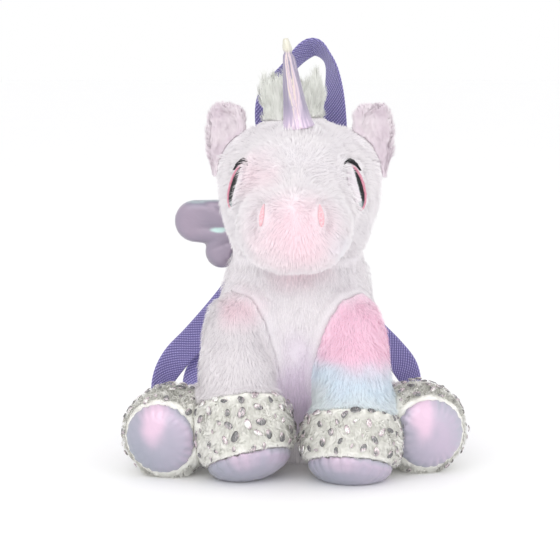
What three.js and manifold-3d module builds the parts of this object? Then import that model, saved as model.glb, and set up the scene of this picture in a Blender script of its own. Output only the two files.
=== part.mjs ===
// A child's plush unicorn backpack, sitting by itself on a floor.
// Millimetres, +Z up, +X to the viewer's right; the face looks along -Y and the zipped back along +Y.
// The body is a padded bag, hollow inside, with a zip down its back and two webbing shoulder straps.
// The stuffed head, ears, horn, mane, wings and legs are sewn on, and each foot has a shaggy cuff
// and a shiny domed sole. Furry pieces are drawn to the tips of their pile.

import * as THREE from "three";
import { mergeVertices } from "three/addons/utils/BufferGeometryUtils.js";
import Module from "manifold-3d";

const wasm = await Module();
wasm.setup();

// Clearances
const SEAM = 0.4; // gap where one sewn piece lies against another
const SUNK = 4; // how deep a sewn-on piece starts inside its carrier before it is cut to fit
const SPLIT_EASE = 0.01; // how much longer the usual diagonal of a quad may be than the other one

// Body
const BODY = { height: 200, width: 152, depth: 146, wall: 9, frontRound: 2.2, backRound: 2.8 };
const BODY_SECTIONS = [
  { up: 0.0, wide: 0.74, front: 0.22, back: 0.46 },
  { up: 0.035, wide: 0.87, front: 0.29, back: 0.53 },
  { up: 0.14, wide: 0.97, front: 0.35, back: 0.585 },
  { up: 0.3, wide: 1.0, front: 0.39, back: 0.595 },
  { up: 0.46, wide: 0.98, front: 0.42, back: 0.56 },
  { up: 0.61, wide: 0.93, front: 0.435, back: 0.51 },
  { up: 0.75, wide: 0.87, front: 0.41, back: 0.45 },
  { up: 0.86, wide: 0.79, front: 0.34, back: 0.39 },
  { up: 0.95, wide: 0.63, front: 0.26, back: 0.31 },
  { up: 1.0, wide: 0.42, front: 0.17, back: 0.22 },
];

// Zip down the back of the body
const ZIP = { length: 118, foot: 42, tape: 14, thick: 2, teeth: 5, ridge: 1.4, inset: 0.8, steps: 8 };
const SLIDER = { width: 9, height: 10, thick: 3.2, down: 9, tab: 6, tabLength: 24, tabThick: 1.6 };

// Head, in its own frame: origin on the neck's axis at the head's middle, muzzle along -Y
const HEAD = {
  width: 150,
  height: 124,
  length: 186,
  lift: 221,
  ahead: 50,
  side: -1,
  turn: -3.5,
  blend: 19,
  roundness: 2.3,
};
const HEAD_FORMS = [
  { side: 0, ahead: -0.285, up: 0.12, wide: 0.468, long: 0.29, tall: 0.44 }, // skull
  { side: 0, ahead: -0.04, up: 0.15, wide: 0.305, long: 0.22, tall: 0.32 }, // brow
  { side: 0, ahead: 0.172, up: -0.115, wide: 0.322, long: 0.265, tall: 0.32 }, // muzzle
  { side: -0.255, ahead: -0.2, up: -0.12, wide: 0.163, long: 0.22, tall: 0.28 }, // left cheek
  { side: 0.255, ahead: -0.2, up: -0.12, wide: 0.163, long: 0.22, tall: 0.28 }, // right cheek
];

// Face, each place a share of the head's size from its middle
const EYE = { width: 24, height: 38, rim: 2.6, proud: 2, side: 0.32, ahead: 0.04, up: 0.117 };
const LASH = { rise: 3.7, thick: 3.2, from: 30, to: 155, proud: 2.4, steps: 9 };
const NOSTRIL = { width: 7, height: 17, proud: 2, side: 0.15, ahead: 0.4, up: -0.005 };

// Ears, horn and mane, each place a share of the head's size from its middle
const EAR = { height: 60, width: 36, thick: 17, cup: 7, side: 0.408, ahead: -0.25, up: 0.15, turn: 22 };
const EAR_SECTIONS = [
  { up: 0.0, wide: 0.72, thick: 0.85 },
  { up: 0.16, wide: 0.84, thick: 1.0 },
  { up: 0.42, wide: 0.98, thick: 1.0 },
  { up: 0.7, wide: 1.0, thick: 0.95 },
  { up: 0.87, wide: 0.92, thick: 0.82 },
  { up: 0.96, wide: 0.72, thick: 0.6 },
  { up: 1.0, wide: 0.36, thick: 0.3 },
];
const HORN = {
  length: 74,
  foot: 25,
  tip: 6.5,
  ahead: -0.088,
  up: 0.53,
  lean: -8,
  nod: 5,
  folds: 5,
  fold: 0.07,
  twist: 0.5,
};
const MANE = { width: 52, length: 44, height: 20, rise: 31, lock: 11, side: -0.03, ahead: -0.3, up: 0.49 };
const MANE_LOCKS = [
  { side: -0.34, back: -0.12, tipSide: -0.5, tipBack: -0.12, rise: 0.9 },
  { side: -0.2, back: -0.28, tipSide: -0.28, tipBack: -0.3, rise: 0.84 },
  { side: -0.28, back: 0.12, tipSide: -0.36, tipBack: 0.14, rise: 1.0 },
  { side: -0.08, back: -0.08, tipSide: -0.16, tipBack: -0.06, rise: 1.05 },
  { side: 0.08, back: 0.14, tipSide: 0.06, tipBack: 0.18, rise: 0.85 },
  { side: 0.22, back: -0.16, tipSide: 0.28, tipBack: -0.14, rise: 0.56 },
  { side: 0.27, back: 0.06, tipSide: 0.36, tipBack: 0.08, rise: 1.1 },
  { side: -0.24, back: 0.4, tipSide: -0.4, tipBack: 0.68, rise: 0.6 },
  { side: 0.02, back: 0.42, tipSide: 0.04, tipBack: 0.8, rise: 0.55 },
  { side: 0.26, back: 0.38, tipSide: 0.38, tipBack: 0.64, rise: 0.5 },
];

// Legs. A hip is a share of the body's width, depth and height; a sole's middle is in millimetres
const FRONT_LEG = { thick: 70, cuff: 82, sole: 72, dome: 19 };
const HIND_LEG = { thick: 60, cuff: 73, sole: 61, dome: 12 };
const LEGS = [
  {
    name: "front_leg_left",
    make: FRONT_LEG,
    hip: [-0.3, -0.18, 0.71],
    sole: [-39, -88, 15],
    bow: [-13, -6, 2],
    cuff: 0.65,
  },
  {
    name: "front_leg_right",
    make: FRONT_LEG,
    hip: [0.28, -0.18, 0.7],
    sole: [42, -93, 11],
    bow: [5, -6, 2],
    cuff: 0.71,
  },
  {
    name: "hind_leg_left",
    make: HIND_LEG,
    hip: [-0.31, 0.14, 0.21],
    sole: [-112, -88, 34],
    bow: [-18, 10, 0],
    cuff: 0.62,
  },
  {
    name: "hind_leg_right",
    make: HIND_LEG,
    hip: [0.31, 0.16, 0.21],
    sole: [108, -74, 35],
    bow: [18, 12, 0],
    cuff: 0.62,
  },
];
const CUFF_END = 0.97; // where a cuff ends along its leg, as a share
const LEG_SECTIONS = [
  { along: 0.0, round: 0.5 },
  { along: 0.1, round: 0.8 },
  { along: 0.28, round: 0.93 },
  { along: 0.6, round: 0.99 },
  { along: 1.0, round: 1.04 },
];
const CUFF_SECTIONS = [
  { along: 0.0, round: 0.9 },
  { along: 0.16, round: 1.0 },
  { along: 0.55, round: 1.02 },
  { along: 0.88, round: 0.98 },
  { along: 1.0, round: 0.89 },
];
const SOLE_SECTIONS = [
  { along: 0.0, round: 0.97 },
  { along: 0.3, round: 0.94 },
  { along: 0.62, round: 0.78 },
  { along: 0.88, round: 0.48 },
];

// Wings: feather lobes fan from a root on the body's upper back
const WING = { thick: 15, up: 0.98, side: 0.24, behind: 0.24 };
const WING_LOBES = [
  { reach: 52, round: 18.5, root: 22, rise: 2 },
  { reach: 38, round: 14.5, root: 15, rise: -40 },
];
const WING_SIDES = [
  { name: "wing_left", side: -1, sweep: 8 },
  { name: "wing_right", side: 1, sweep: 68 },
];

// Webbing: shoulder straps and the carrying loop. A strap's route is in shares of the body's
// half width, its depth and its height, each point with the way that the webbing's face looks.
// A point with no depth lies on the body's back
const WEBBING = { width: 25, thick: 1.8 };
const STRAP = { ease: 1.4, steps: 40 };
const STRAPS = [
  {
    name: "strap_left",
    side: -1,
    route: [
      { out: 0.2, up: 0.87 },
      { out: 0.36, up: 0.81 },
      { out: 0.6, behind: 0.5, up: 0.72, face: [0.2, -1, 0.5] },
      { out: 0.8, behind: 0.51, up: 0.62, face: [0.3, -1, 0.4] },
      { out: 1.0, behind: 0.49, up: 0.53, face: [0.3, -1, 0.3] },
      { out: 1.21, behind: 0.43, up: 0.445, face: [0.3, -1, 0.3] },
      { out: 1.41, behind: 0.38, up: 0.37, face: [0.4, -1, 0.2] },
      { out: 1.55, behind: 0.342, up: 0.28, face: [0.75, -0.8, 0.1] },
      { out: 1.59, behind: 0.32, up: 0.18, face: [1, -0.45, 0.2] },
      { out: 1.46, behind: 0.33, up: 0.085, face: [0.1, -0.15, 1] },
      { out: 1.28, behind: 0.38, up: 0.17, face: [-0.8, -0.5, 0.4] },
      { out: 1.15, behind: 0.45, up: 0.29, face: [-0.3, -1, 0.1] },
      { out: 0.96, behind: 0.515, up: 0.365, face: [0.4, -1, 0] },
      { out: 0.72, up: 0.375 },
      { out: 0.5, up: 0.32 },
      { out: 0.32, up: 0.24 },
    ],
  },
  {
    name: "strap_right",
    side: 1,
    route: [
      { out: 0.2, up: 0.87 },
      { out: 0.34, up: 0.8 },
      { out: 0.52, behind: 0.5, up: 0.69, face: [0.1, -1, 0.4] },
      { out: 0.72, behind: 0.53, up: 0.57, face: [0.2, -1, 0.3] },
      { out: 0.9, behind: 0.51, up: 0.475, face: [0.3, -1, 0.3] },
      { out: 1.1, behind: 0.466, up: 0.4, face: [0.4, -1, 0.3] },
      { out: 1.28, behind: 0.41, up: 0.32, face: [0.6, -0.9, 0.2] },
      { out: 1.37, behind: 0.37, up: 0.21, face: [1, -0.45, 0.2] },
      { out: 1.25, behind: 0.385, up: 0.095, face: [0.15, -0.3, 1] },
      { out: 1.07, behind: 0.44, up: 0.125, face: [-0.3, -0.7, 0.8] },
      { out: 0.9, behind: 0.53, up: 0.2, face: [0, -1, 0.1] },
      { out: 0.66, up: 0.24 },
      { out: 0.46, up: 0.21 },
      { out: 0.3, up: 0.17 },
    ],
  },
];
const HANDLE = { foot: 27, side: -3, ease: 1, top: 127, skew: 12, lean: 38, steps: 30 };

// Facets round each kind of piece
const FACETS = {
  body: 28,
  head: 36,
  headRows: 21,
  limb: 18,
  ear: 14,
  horn: 15,
  hornRows: 10,
  lock: 5,
  patch: 16,
};

const vector = (x, y, z) => new THREE.Vector3(x, y, z);
const turnAboutZ = (degrees) => new THREE.Matrix4().makeRotationZ(THREE.MathUtils.degToRad(degrees));
const turnAboutY = (degrees) => new THREE.Matrix4().makeRotationY(THREE.MathUtils.degToRad(degrees));
const turnAboutX = (degrees) => new THREE.Matrix4().makeRotationX(THREE.MathUtils.degToRad(degrees));
const moveBy = (x, y, z) => new THREE.Matrix4().makeTranslation(x, y, z);
const moved = (solid, matrix) => solid.transform(matrix.elements);

// A closed solid from a three.js geometry.
function solidOf(geometry) {
  const loose = geometry.index ? geometry.toNonIndexed() : geometry;
  const bare = new THREE.BufferGeometry().setAttribute("position", loose.getAttribute("position"));
  const merged = mergeVertices(bare, 1e-3);
  const mesh = new wasm.Mesh({
    numProp: 3,
    vertProperties: merged.attributes.position.array,
    triVerts: new Uint32Array(merged.index.array),
  });
  return new wasm.Manifold(mesh);
}

function geometryOf(solid) {
  const mesh = solid.getMesh();
  const geometry = new THREE.BufferGeometry();
  geometry.setAttribute("position", new THREE.BufferAttribute(mesh.vertProperties, 3));
  geometry.setIndex(new THREE.BufferAttribute(mesh.triVerts, 1));
  geometry.computeVertexNormals();
  return geometry;
}

function box(width, depth, height) {
  return solidOf(new THREE.BoxGeometry(width, depth, height));
}

const middleOf = (points) =>
  points.reduce((sum, point) => sum.add(point), vector(0, 0, 0)).divideScalar(points.length);

// A solid skinned over rings of equal point counts, which run anticlockwise seen from the last one.
// Its two ends close on a point each. Each quad is split along its shorter diagonal.
function skin(rings, start = middleOf(rings[0]), end = middleOf(rings.at(-1))) {
  const count = rings[0].length;
  const points = [...rings.flat(), start, end];
  const startIndex = points.length - 2;
  const endIndex = points.length - 1;
  const lastRing = (rings.length - 1) * count;
  const span = (one, other) => points[one].distanceTo(points[other]);
  const faces = [];
  for (let k = 0; k < count; k++) {
    const next = (k + 1) % count;
    for (let ring = 0; ring < lastRing; ring += count) {
      const [low, lowNext, highNext, high] = [k, next, next + count, k + count].map((at) => ring + at);
      if (span(low, highNext) <= span(lowNext, high) + SPLIT_EASE) {
        faces.push(low, lowNext, highNext, low, highNext, high);
      } else {
        faces.push(low, lowNext, high, lowNext, highNext, high);
      }
    }
    faces.push(startIndex, next, k);
    faces.push(endIndex, lastRing + k, lastRing + next);
  }
  const geometry = new THREE.BufferGeometry().setFromPoints(points);
  geometry.setIndex(faces);
  return solidOf(geometry);
}

// A ring of points, each made from the cosine and sine of its angle.
function ringOf(count, pointAt) {
  return Array.from({ length: count }, (_, k) => {
    const angle = (2 * Math.PI * k) / count;
    return pointAt(Math.cos(angle), Math.sin(angle));
  });
}

// A cosine or sine that turns a circle into a rounder or squarer outline.
const squared = (value, roundness) => Math.sign(value) * Math.abs(value) ** (2 / roundness);

// What rests on the floor is flat there.
function restOnFloor(solid) {
  const size = 1000;
  return solid.subtract(moved(box(size, size, size), moveBy(0, 0, -size / 2)));
}

const cutBy = (solid, ...others) => others.reduce((left, other) => left.subtract(other), solid);

// Of a piece cut in several, the largest one is kept.
function largest(solid) {
  return solid.decompose().sort((a, b) => b.volume() - a.volume())[0];
}

// The body's form, grown by a clearance or shrunk by its wall.
function bodyForm(grow) {
  const rings = BODY_SECTIONS.map((section) => {
    const z = -grow + section.up * (BODY.height + 2 * grow);
    const halfWidth = (section.wide * BODY.width) / 2 + grow;
    return ringOf(FACETS.body, (across, along) => {
      const front = along < 0;
      const roundness = front ? BODY.frontRound : BODY.backRound;
      const reach = (front ? section.front : section.back) * BODY.depth + grow;
      return vector(halfWidth * squared(across, roundness), reach * squared(along, roundness), z);
    });
  });
  return skin(rings);
}

// How far back the body reaches at a height, at a distance from its middle.
function backOfBody(x, z) {
  const up = z / BODY.height;
  const above = BODY_SECTIONS.findIndex((section) => section.up >= up);
  const [low, high] = [BODY_SECTIONS[above - 1], BODY_SECTIONS[above]];
  const share = (up - low.up) / (high.up - low.up);
  const halfWidth = (THREE.MathUtils.lerp(low.wide, high.wide, share) * BODY.width) / 2;
  const reach = THREE.MathUtils.lerp(low.back, high.back, share) * BODY.depth;
  return reach * (1 - Math.abs(x / halfWidth) ** BODY.backRound) ** (1 / BODY.backRound);
}

// The padded bag: walls round a pocket, and a slot down the back that the zip closes.
function bodyShell() {
  const slotDepth = BODY.depth;
  const slot = moved(
    box(ZIP.tape + 2 * SEAM, slotDepth, ZIP.length + 2 * SEAM),
    moveBy(0, slotDepth / 2, ZIP.foot + ZIP.length / 2),
  );
  return restOnFloor(cutBy(bodyForm(0), bodyForm(-BODY.wall), slot));
}

// The zip's tapes with its closed teeth as one ridge, following the back.
function zipStrip() {
  const half = ZIP.tape / 2;
  const halfTeeth = ZIP.teeth / 2;
  const rings = Array.from({ length: ZIP.steps + 1 }, (_, step) => {
    const z = ZIP.foot + (step / ZIP.steps) * ZIP.length;
    const face = backOfBody(0, z) - ZIP.inset;
    return [
      vector(-half, face - ZIP.thick, z),
      vector(half, face - ZIP.thick, z),
      vector(half, face, z),
      vector(halfTeeth, face, z),
      vector(halfTeeth, face + ZIP.ridge, z),
      vector(-halfTeeth, face + ZIP.ridge, z),
      vector(-halfTeeth, face, z),
      vector(-half, face, z),
    ];
  });
  return skin(rings);
}

// The slider with its pull tab hanging down the teeth.
function zipSlider() {
  const z = ZIP.foot + ZIP.length - SLIDER.down;
  const run = SLIDER.tabLength;
  const slope = Math.atan2(backOfBody(0, z) - backOfBody(0, z - run), run);
  const shuttle = moved(box(SLIDER.width, SLIDER.thick, SLIDER.height), moveBy(0, SLIDER.thick / 2, 0));
  const tab = moved(
    box(SLIDER.tab, SLIDER.tabThick, run),
    moveBy(0, SLIDER.thick - SLIDER.tabThick / 2, -run / 2),
  );
  const seat = backOfBody(0, z) - ZIP.inset + ZIP.ridge + SEAM;
  const place = moveBy(0, seat + SLIDER.thick * 0.15, z).multiply(
    turnAboutX(-THREE.MathUtils.radToDeg(slope)),
  );
  return moved(shuttle.add(tab), place);
}

// The head's form: rounded masses that flow into each other. Negative inside, about millimetres out.
function headField(point) {
  let field = Infinity;
  for (const form of HEAD_FORMS) {
    const offsets = [
      (point.x - form.side * HEAD.width) / (form.wide * HEAD.width),
      (point.y + form.ahead * HEAD.length) / (form.long * HEAD.length),
      (point.z - form.up * HEAD.height) / (form.tall * HEAD.height),
    ];
    const sum = offsets.reduce((total, offset) => total + Math.abs(offset) ** HEAD.roundness, 0);
    const away = (sum ** (1 / HEAD.roundness) - 1) * form.wide * HEAD.width;
    const overlap = Math.max(HEAD.blend - Math.abs(field - away), 0) / HEAD.blend;
    const flow = Number.isFinite(overlap) ? overlap * overlap * HEAD.blend : 0;
    field = Math.min(field, away) - flow / 4;
  }
  return field;
}

// The point of the head's surface, grown by a clearance, in a direction from its middle.
function onHead(direction, grow = 0) {
  const way = direction.clone().normalize();
  let [inside, outside] = [0, HEAD.length];
  for (let pass = 0; pass < 24; pass++) {
    const half = (inside + outside) / 2;
    if (headField(way.clone().multiplyScalar(half)) < 0) inside = half;
    else outside = half;
  }
  return way.multiplyScalar(inside + grow);
}

function headForm(grow) {
  const rings = Array.from({ length: FACETS.headRows - 1 }, (_, row) => {
    const rise = Math.PI * ((row + 1) / FACETS.headRows - 0.5);
    return ringOf(FACETS.head, (across, along) =>
      onHead(vector(across * Math.cos(rise), along * Math.cos(rise), Math.sin(rise)), grow),
    );
  });
  return skin(rings, onHead(vector(0, 0, -1), grow), onHead(vector(0, 0, 1), grow));
}

// A place on the head given as shares of its size from its middle.
const headPlace = (side, ahead, up) => vector(side * HEAD.width, -ahead * HEAD.length, up * HEAD.height);

// Places on the head round a middle, from distances across and up from it and the clearance above it.
function headAround(middle) {
  const way = middle.clone().normalize();
  const across = vector(0, 0, 1).cross(way).normalize();
  const upward = way.clone().cross(across);
  const reach = onHead(middle).length();
  return (wide, high, grow) => {
    const direction = way.clone().multiplyScalar(reach);
    return onHead(direction.addScaledVector(across, wide).addScaledVector(upward, high), grow);
  };
}

// A thin patch that lies on the head round a middle, inside an outline of points across and up it.
function headPatch(middle, outline, proud) {
  const at = headAround(middle);
  const rings = [
    outline.map((point) => at(point.x, point.y, -SUNK)),
    outline.map((point) => at(point.x, point.y, proud)),
    outline.map((point) => at(point.x * 0.55, point.y * 0.55, proud)),
  ];
  return skin(rings, at(0, 0, -SUNK), at(0, 0, proud));
}

const oval = (width, height) =>
  ringOf(FACETS.patch, (across, up) => new THREE.Vector2((across * width) / 2, (up * height) / 2));

// A drop: round below and drawn to a point above.
const drop = (width, height) =>
  ringOf(FACETS.patch, (across, up) => {
    const taper = 1 - 0.55 * Math.max(up, 0);
    return new THREE.Vector2((across * width * taper) / 2, (up * height) / 2);
  });

// The right eye, embroidered: a dark iris, a rim round it and a lash arched over it.
function eyeSolids() {
  const middle = headPlace(EYE.side, EYE.ahead, EYE.up);
  const iris = headPatch(middle, oval(EYE.width - 2 * EYE.rim, EYE.height - 2 * EYE.rim), EYE.proud);
  const gap = 2 * EYE.rim - 2 * SEAM;
  const opening = headPatch(middle, oval(EYE.width - gap, EYE.height - gap), EYE.proud + SUNK);
  const rim = headPatch(middle, oval(EYE.width, EYE.height), EYE.proud).subtract(opening);
  return { eye_iris: iris, eye_rim: rim, eye_lash: lashOver(middle) };
}

// The right lash: a band bent over the eye, fine at its ends.
function lashOver(middle) {
  const at = headAround(middle);
  const point = (degrees, out, grow) => {
    const angle = THREE.MathUtils.degToRad(degrees);
    const [wide, high] = [EYE.width / 2 + out, EYE.height / 2 + out];
    return at(Math.cos(angle) * wide, Math.sin(angle) * high, grow);
  };
  const rings = Array.from({ length: LASH.steps }, (_, step) => {
    const share = step / (LASH.steps - 1);
    const degrees = THREE.MathUtils.lerp(LASH.from, LASH.to, share);
    const thick = LASH.thick * (0.25 + 0.75 * Math.sin(Math.PI * (0.12 + 0.76 * share)));
    const [low, high] = [LASH.rise - thick / 2, LASH.rise + thick / 2];
    return [
      point(degrees, low, LASH.proud),
      point(degrees, high, LASH.proud),
      point(degrees, high, -SUNK),
      point(degrees, low, -SUNK),
    ];
  });
  return skin(rings);
}

// The right nostril.
function nostrilSolid() {
  const middle = headPlace(NOSTRIL.side, NOSTRIL.ahead, NOSTRIL.up);
  return headPatch(middle, drop(NOSTRIL.width, NOSTRIL.height), NOSTRIL.proud);
}

// The right ear: a rounded paddle with a cup pressed into the face that looks forward and out.
function earSolid() {
  const paddle = (size, height) =>
    skin(
      EAR_SECTIONS.map((section) =>
        ringOf(FACETS.ear, (across, along) =>
          vector(
            (across * section.wide * EAR.width * size) / 2,
            (along * section.thick * EAR.thick * size) / 2,
            section.up * height,
          ),
        ),
      ),
    );
  const cup = moved(paddle(0.72, EAR.height * 0.72), moveBy(0, -EAR.cup, EAR.height * 0.2));
  const place = headPlaceMatrix(EAR.side, EAR.ahead, EAR.up).multiply(turnAboutZ(EAR.turn));
  return moved(paddle(1, EAR.height).subtract(cup), place);
}

function headPlaceMatrix(side, ahead, up) {
  const place = headPlace(side, ahead, up);
  return moveBy(place.x, place.y, place.z);
}

// The horn: a tapered cone whose soft folds wind up it.
function hornSolid(grow) {
  const rings = Array.from({ length: FACETS.hornRows + 1 }, (_, row) => {
    const share = row / FACETS.hornRows;
    const radius = THREE.MathUtils.lerp(HORN.foot, HORN.tip, share ** 0.92) / 2;
    const cap = share > 0.94 ? 0.72 : 1;
    return Array.from({ length: FACETS.horn }, (_unused, k) => {
      const angle = (2 * Math.PI * k) / FACETS.horn;
      const wave = 1 + HORN.fold * Math.cos(HORN.folds * (angle + HORN.twist * share * Math.PI));
      const reach = radius * cap * wave + grow;
      return vector(reach * Math.cos(angle), reach * Math.sin(angle), share * HORN.length - SUNK);
    });
  });
  const place = headPlaceMatrix(0, HORN.ahead, HORN.up)
    .multiply(turnAboutY(HORN.lean))
    .multiply(turnAboutX(HORN.nod));
  return moved(skin(rings), place);
}

// The mane: long locks that stand up from a low pad on the crown, fused into one tuft.
function maneSolid() {
  const pad = moved(
    solidOf(new THREE.SphereGeometry(1, 12, 6)),
    new THREE.Matrix4().makeScale(MANE.width / 2, MANE.length / 2, MANE.height),
  );
  const locks = MANE_LOCKS.map((row) => {
    const foot = vector(row.side * MANE.width, row.back * MANE.length, 0);
    const top = MANE.height * 0.6 + row.rise * MANE.rise;
    const tip = vector(row.tipSide * MANE.width, row.tipBack * MANE.length, top);
    const middle = foot.clone().lerp(tip, 0.5).setZ(tip.z * 0.62);
    const path = new THREE.QuadraticBezierCurve3(foot, middle, tip);
    return limb(path, [
      { at: 0, radius: MANE.lock },
      { at: 0.4, radius: MANE.lock * 0.95 },
      { at: 0.8, radius: MANE.lock * 0.6 },
      { at: 1, radius: MANE.lock * 0.16 },
    ], FACETS.lock);
  });
  const tuft = locks.reduce((sum, lock) => sum.add(lock), pad);
  return moved(tuft, headPlaceMatrix(MANE.side, MANE.ahead, MANE.up));
}

// A round limb along a path: each station gives its place along the path and its radius.
function limb(path, stations, facets) {
  const rings = stations.map((station) => {
    const along = path.getTangent(Math.min(station.at, 1));
    const middle = path.getPoint(Math.min(station.at, 1));
    middle.addScaledVector(along, station.past ?? 0);
    const side = vector(1, 0, 0).addScaledVector(along, -along.x).normalize();
    const over = along.clone().cross(side);
    return ringOf(facets, (cos, sin) =>
      middle
        .clone()
        .addScaledVector(side, cos * station.radius)
        .addScaledVector(over, sin * station.radius),
    );
  });
  return skin(rings);
}

function legPath(leg) {
  const hip = vector(leg.hip[0] * BODY.width, leg.hip[1] * BODY.depth, leg.hip[2] * BODY.height);
  const sole = vector(...leg.sole);
  const middle = hip.clone().lerp(sole, 0.5).add(vector(...leg.bow));
  return new THREE.QuadraticBezierCurve3(hip, middle, sole);
}

// A stretch of a leg between two places along its path, with its radii from a table.
function legStretch(leg, from, to, thickness, sections, grow) {
  const ends = [-grow, grow];
  const stations = sections.map((section, index) => ({
    at: THREE.MathUtils.lerp(from, to, section.along),
    radius: (section.round * thickness) / 2 + grow,
    past: index === 0 ? ends[0] : index === sections.length - 1 ? ends[1] : 0,
  }));
  return limb(legPath(leg), stations, FACETS.limb);
}

// A leg's three solids, which follow each other along its path: plush leg, shaggy cuff, domed sole.
function legSolids(leg, grow = 0) {
  const { make } = leg;
  const clear = SEAM / legPath(leg).getLength();
  const plush = legStretch(leg, 0, leg.cuff, make.thick, LEG_SECTIONS, grow);
  const cuff = legStretch(leg, leg.cuff + clear, CUFF_END, make.cuff, CUFF_SECTIONS, grow);
  const dome = SOLE_SECTIONS.map((section) => ({
    at: CUFF_END,
    radius: (section.round * make.sole) / 2 + grow,
    past: SEAM + section.along * make.dome,
  }));
  const apex = { at: CUFF_END, radius: 0.1 * make.sole + grow, past: SEAM + make.dome + grow };
  const sole = limb(legPath(leg), [...dome, apex], FACETS.limb);
  return { plush, cuff, sole };
}

// A wing: padded lobes joined at their root, in the plane of X and Z before it is swept back.
function wingSolid(row, grow = 0) {
  const lobes = WING_LOBES.map((lobe) => {
    const outline = new THREE.Shape();
    outline.moveTo(0, -lobe.root - grow);
    outline.lineTo(lobe.reach, -lobe.round - grow);
    outline.absarc(lobe.reach, 0, lobe.round + grow, -Math.PI / 2, Math.PI / 2, false);
    outline.lineTo(0, lobe.root + grow);
    outline.closePath();
    const edge = WING.thick * 0.42;
    const geometry = new THREE.ExtrudeGeometry(outline, {
      depth: WING.thick - 2 * edge + 2 * grow,
      bevelThickness: edge,
      bevelSize: edge,
      bevelOffset: -edge,
      bevelSegments: 2,
      curveSegments: 8,
    });
    const upright = turnAboutY(-lobe.rise)
      .multiply(turnAboutX(90))
      .multiply(moveBy(0, 0, -WING.thick / 2 + edge - grow));
    return moved(solidOf(geometry), upright);
  });
  const pair = lobes.reduce((sum, lobe) => sum.add(lobe));
  const facing = row.side < 0 ? pair.mirror([1, 0, 0]) : pair;
  const place = moveBy(
    row.side * WING.side * BODY.width,
    WING.behind * BODY.depth,
    WING.up * BODY.height,
  ).multiply(turnAboutZ(row.side * row.sweep));
  return moved(facing, place);
}

// A flat band of webbing along points, each with the way its face looks.
function webbingBand(rows, steps) {
  const route = new THREE.CatmullRomCurve3(rows.map((row) => row.at), false, "centripetal");
  const facing = new THREE.CatmullRomCurve3(rows.map((row) => row.face.clone().normalize()));
  const rings = Array.from({ length: steps + 1 }, (_, step) => {
    const share = step / steps;
    const [middle, along] = [route.getPoint(share), route.getTangent(share)];
    const look = facing.getPoint(share);
    look.addScaledVector(along, -look.dot(along)).normalize();
    const across = look.clone().cross(along);
    const [halfWidth, halfThick] = [WEBBING.width / 2, WEBBING.thick / 2];
    const corner = (wide, thick) =>
      middle
        .clone()
        .addScaledVector(across, wide * halfWidth)
        .addScaledVector(look, thick * halfThick);
    return [corner(-1, -1), corner(1, -1), corner(1, 1), corner(-1, 1)];
  });
  return skin(rings);
}

// A shoulder strap: from its seam high on the back, out and down, and back in to its seam low down.
function strapSolid({ side, route }) {
  const rows = route.map((row) => {
    const [x, z] = [(side * row.out * BODY.width) / 2, row.up * BODY.height];
    if (row.behind === undefined) return restOnBack(x, z);
    const face = vector(-side * row.face[0], row.face[1], row.face[2]);
    return { at: vector(x, row.behind * BODY.depth, z), face };
  });
  return webbingBand(rows, STRAP.steps);
}

// A place where webbing lies flat on the body's back.
function restOnBack(x, z) {
  const step = 1;
  const [slopeX, slopeZ] = [
    (backOfBody(x + step, z) - backOfBody(x - step, z)) / (2 * step),
    (backOfBody(x, z + step) - backOfBody(x, z - step)) / (2 * step),
  ];
  const face = vector(slopeX, -1, slopeZ).normalize();
  const at = vector(x, backOfBody(x, z), z).addScaledVector(face, -WEBBING.thick / 2 - STRAP.ease);
  return { at, face };
}

// The carrying loop behind the head: its ends lie flat on the head and it turns edge-on above.
function handleSolid() {
  const behind = onHead(vector(HANDLE.foot, HEAD.length * 0.55, HEAD.height * 0.3)).y + HANDLE.ease;
  const tall = HANDLE.top;
  const at = (out, back, up) => vector(HANDLE.side + HANDLE.foot * out, behind + back, tall * up);
  const lean = THREE.MathUtils.degToRad(HANDLE.lean);
  const rows = [
    restOnHead(-1, 0.12),
    restOnHead(-1, 0.32),
    { at: at(-0.95, 0, 0.62), face: vector(0.4, -0.9, 0.1) },
    { at: at(-0.42, 2, 0.84), face: vector(0.8, -0.5, -0.5) },
    { at: at(HANDLE.skew / HANDLE.foot, 3, 1), face: vector(0, -Math.sin(lean), -Math.cos(lean)) },
    { at: at(0.92, 2, 0.92), face: vector(-0.8, -0.4, -0.6) },
    { at: at(1.12, 0, 0.7), face: vector(-0.8, -0.7, 0) },
    restOnHead(1, 0.32),
    restOnHead(1, 0.12),
  ];
  return webbingBand(rows, HANDLE.steps);
}

// A place where webbing lies flat on the back of the head.
function restOnHead(side, up) {
  const point = onHead(vector(side * HANDLE.foot, HEAD.length * 0.55, HEAD.height * up));
  const step = 0.5;
  const slope = ["x", "y", "z"].map((axis) => {
    const [more, less] = [point.clone(), point.clone()];
    more[axis] += step;
    less[axis] -= step;
    return headField(more) - headField(less);
  });
  const face = vector(...slope).normalize().negate();
  return { at: point.addScaledVector(face, -WEBBING.thick / 2 - STRAP.ease), face };
}

// Finishes
const finish = (color, roughness, metalness = 0) =>
  new THREE.MeshStandardMaterial({ color, roughness, metalness });
const FINISH = {
  plush: finish(0xf1e6ee, 0.95),
  earPlush: finish(0xeee2ea, 0.95),
  mane: finish(0xe9eae6, 0.95),
  cuff: finish(0xeeeee8, 0.9),
  shine: finish(0xc9bbdc, 0.32, 0.25),
  iris: finish(0x1c2024, 0.6),
  rim: finish(0xf0869f, 0.6),
  nostril: finish(0xf7a3b4, 0.7),
  webbing: finish(0x8f86cc, 0.8),
  zip: finish(0x8a80c6, 0.6),
};

const unicorn = new THREE.Group();
function addPiece(name, solid, material) {
  const mesh = new THREE.Mesh(geometryOf(solid), material);
  mesh.name = name;
  unicorn.add(mesh);
}

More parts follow.
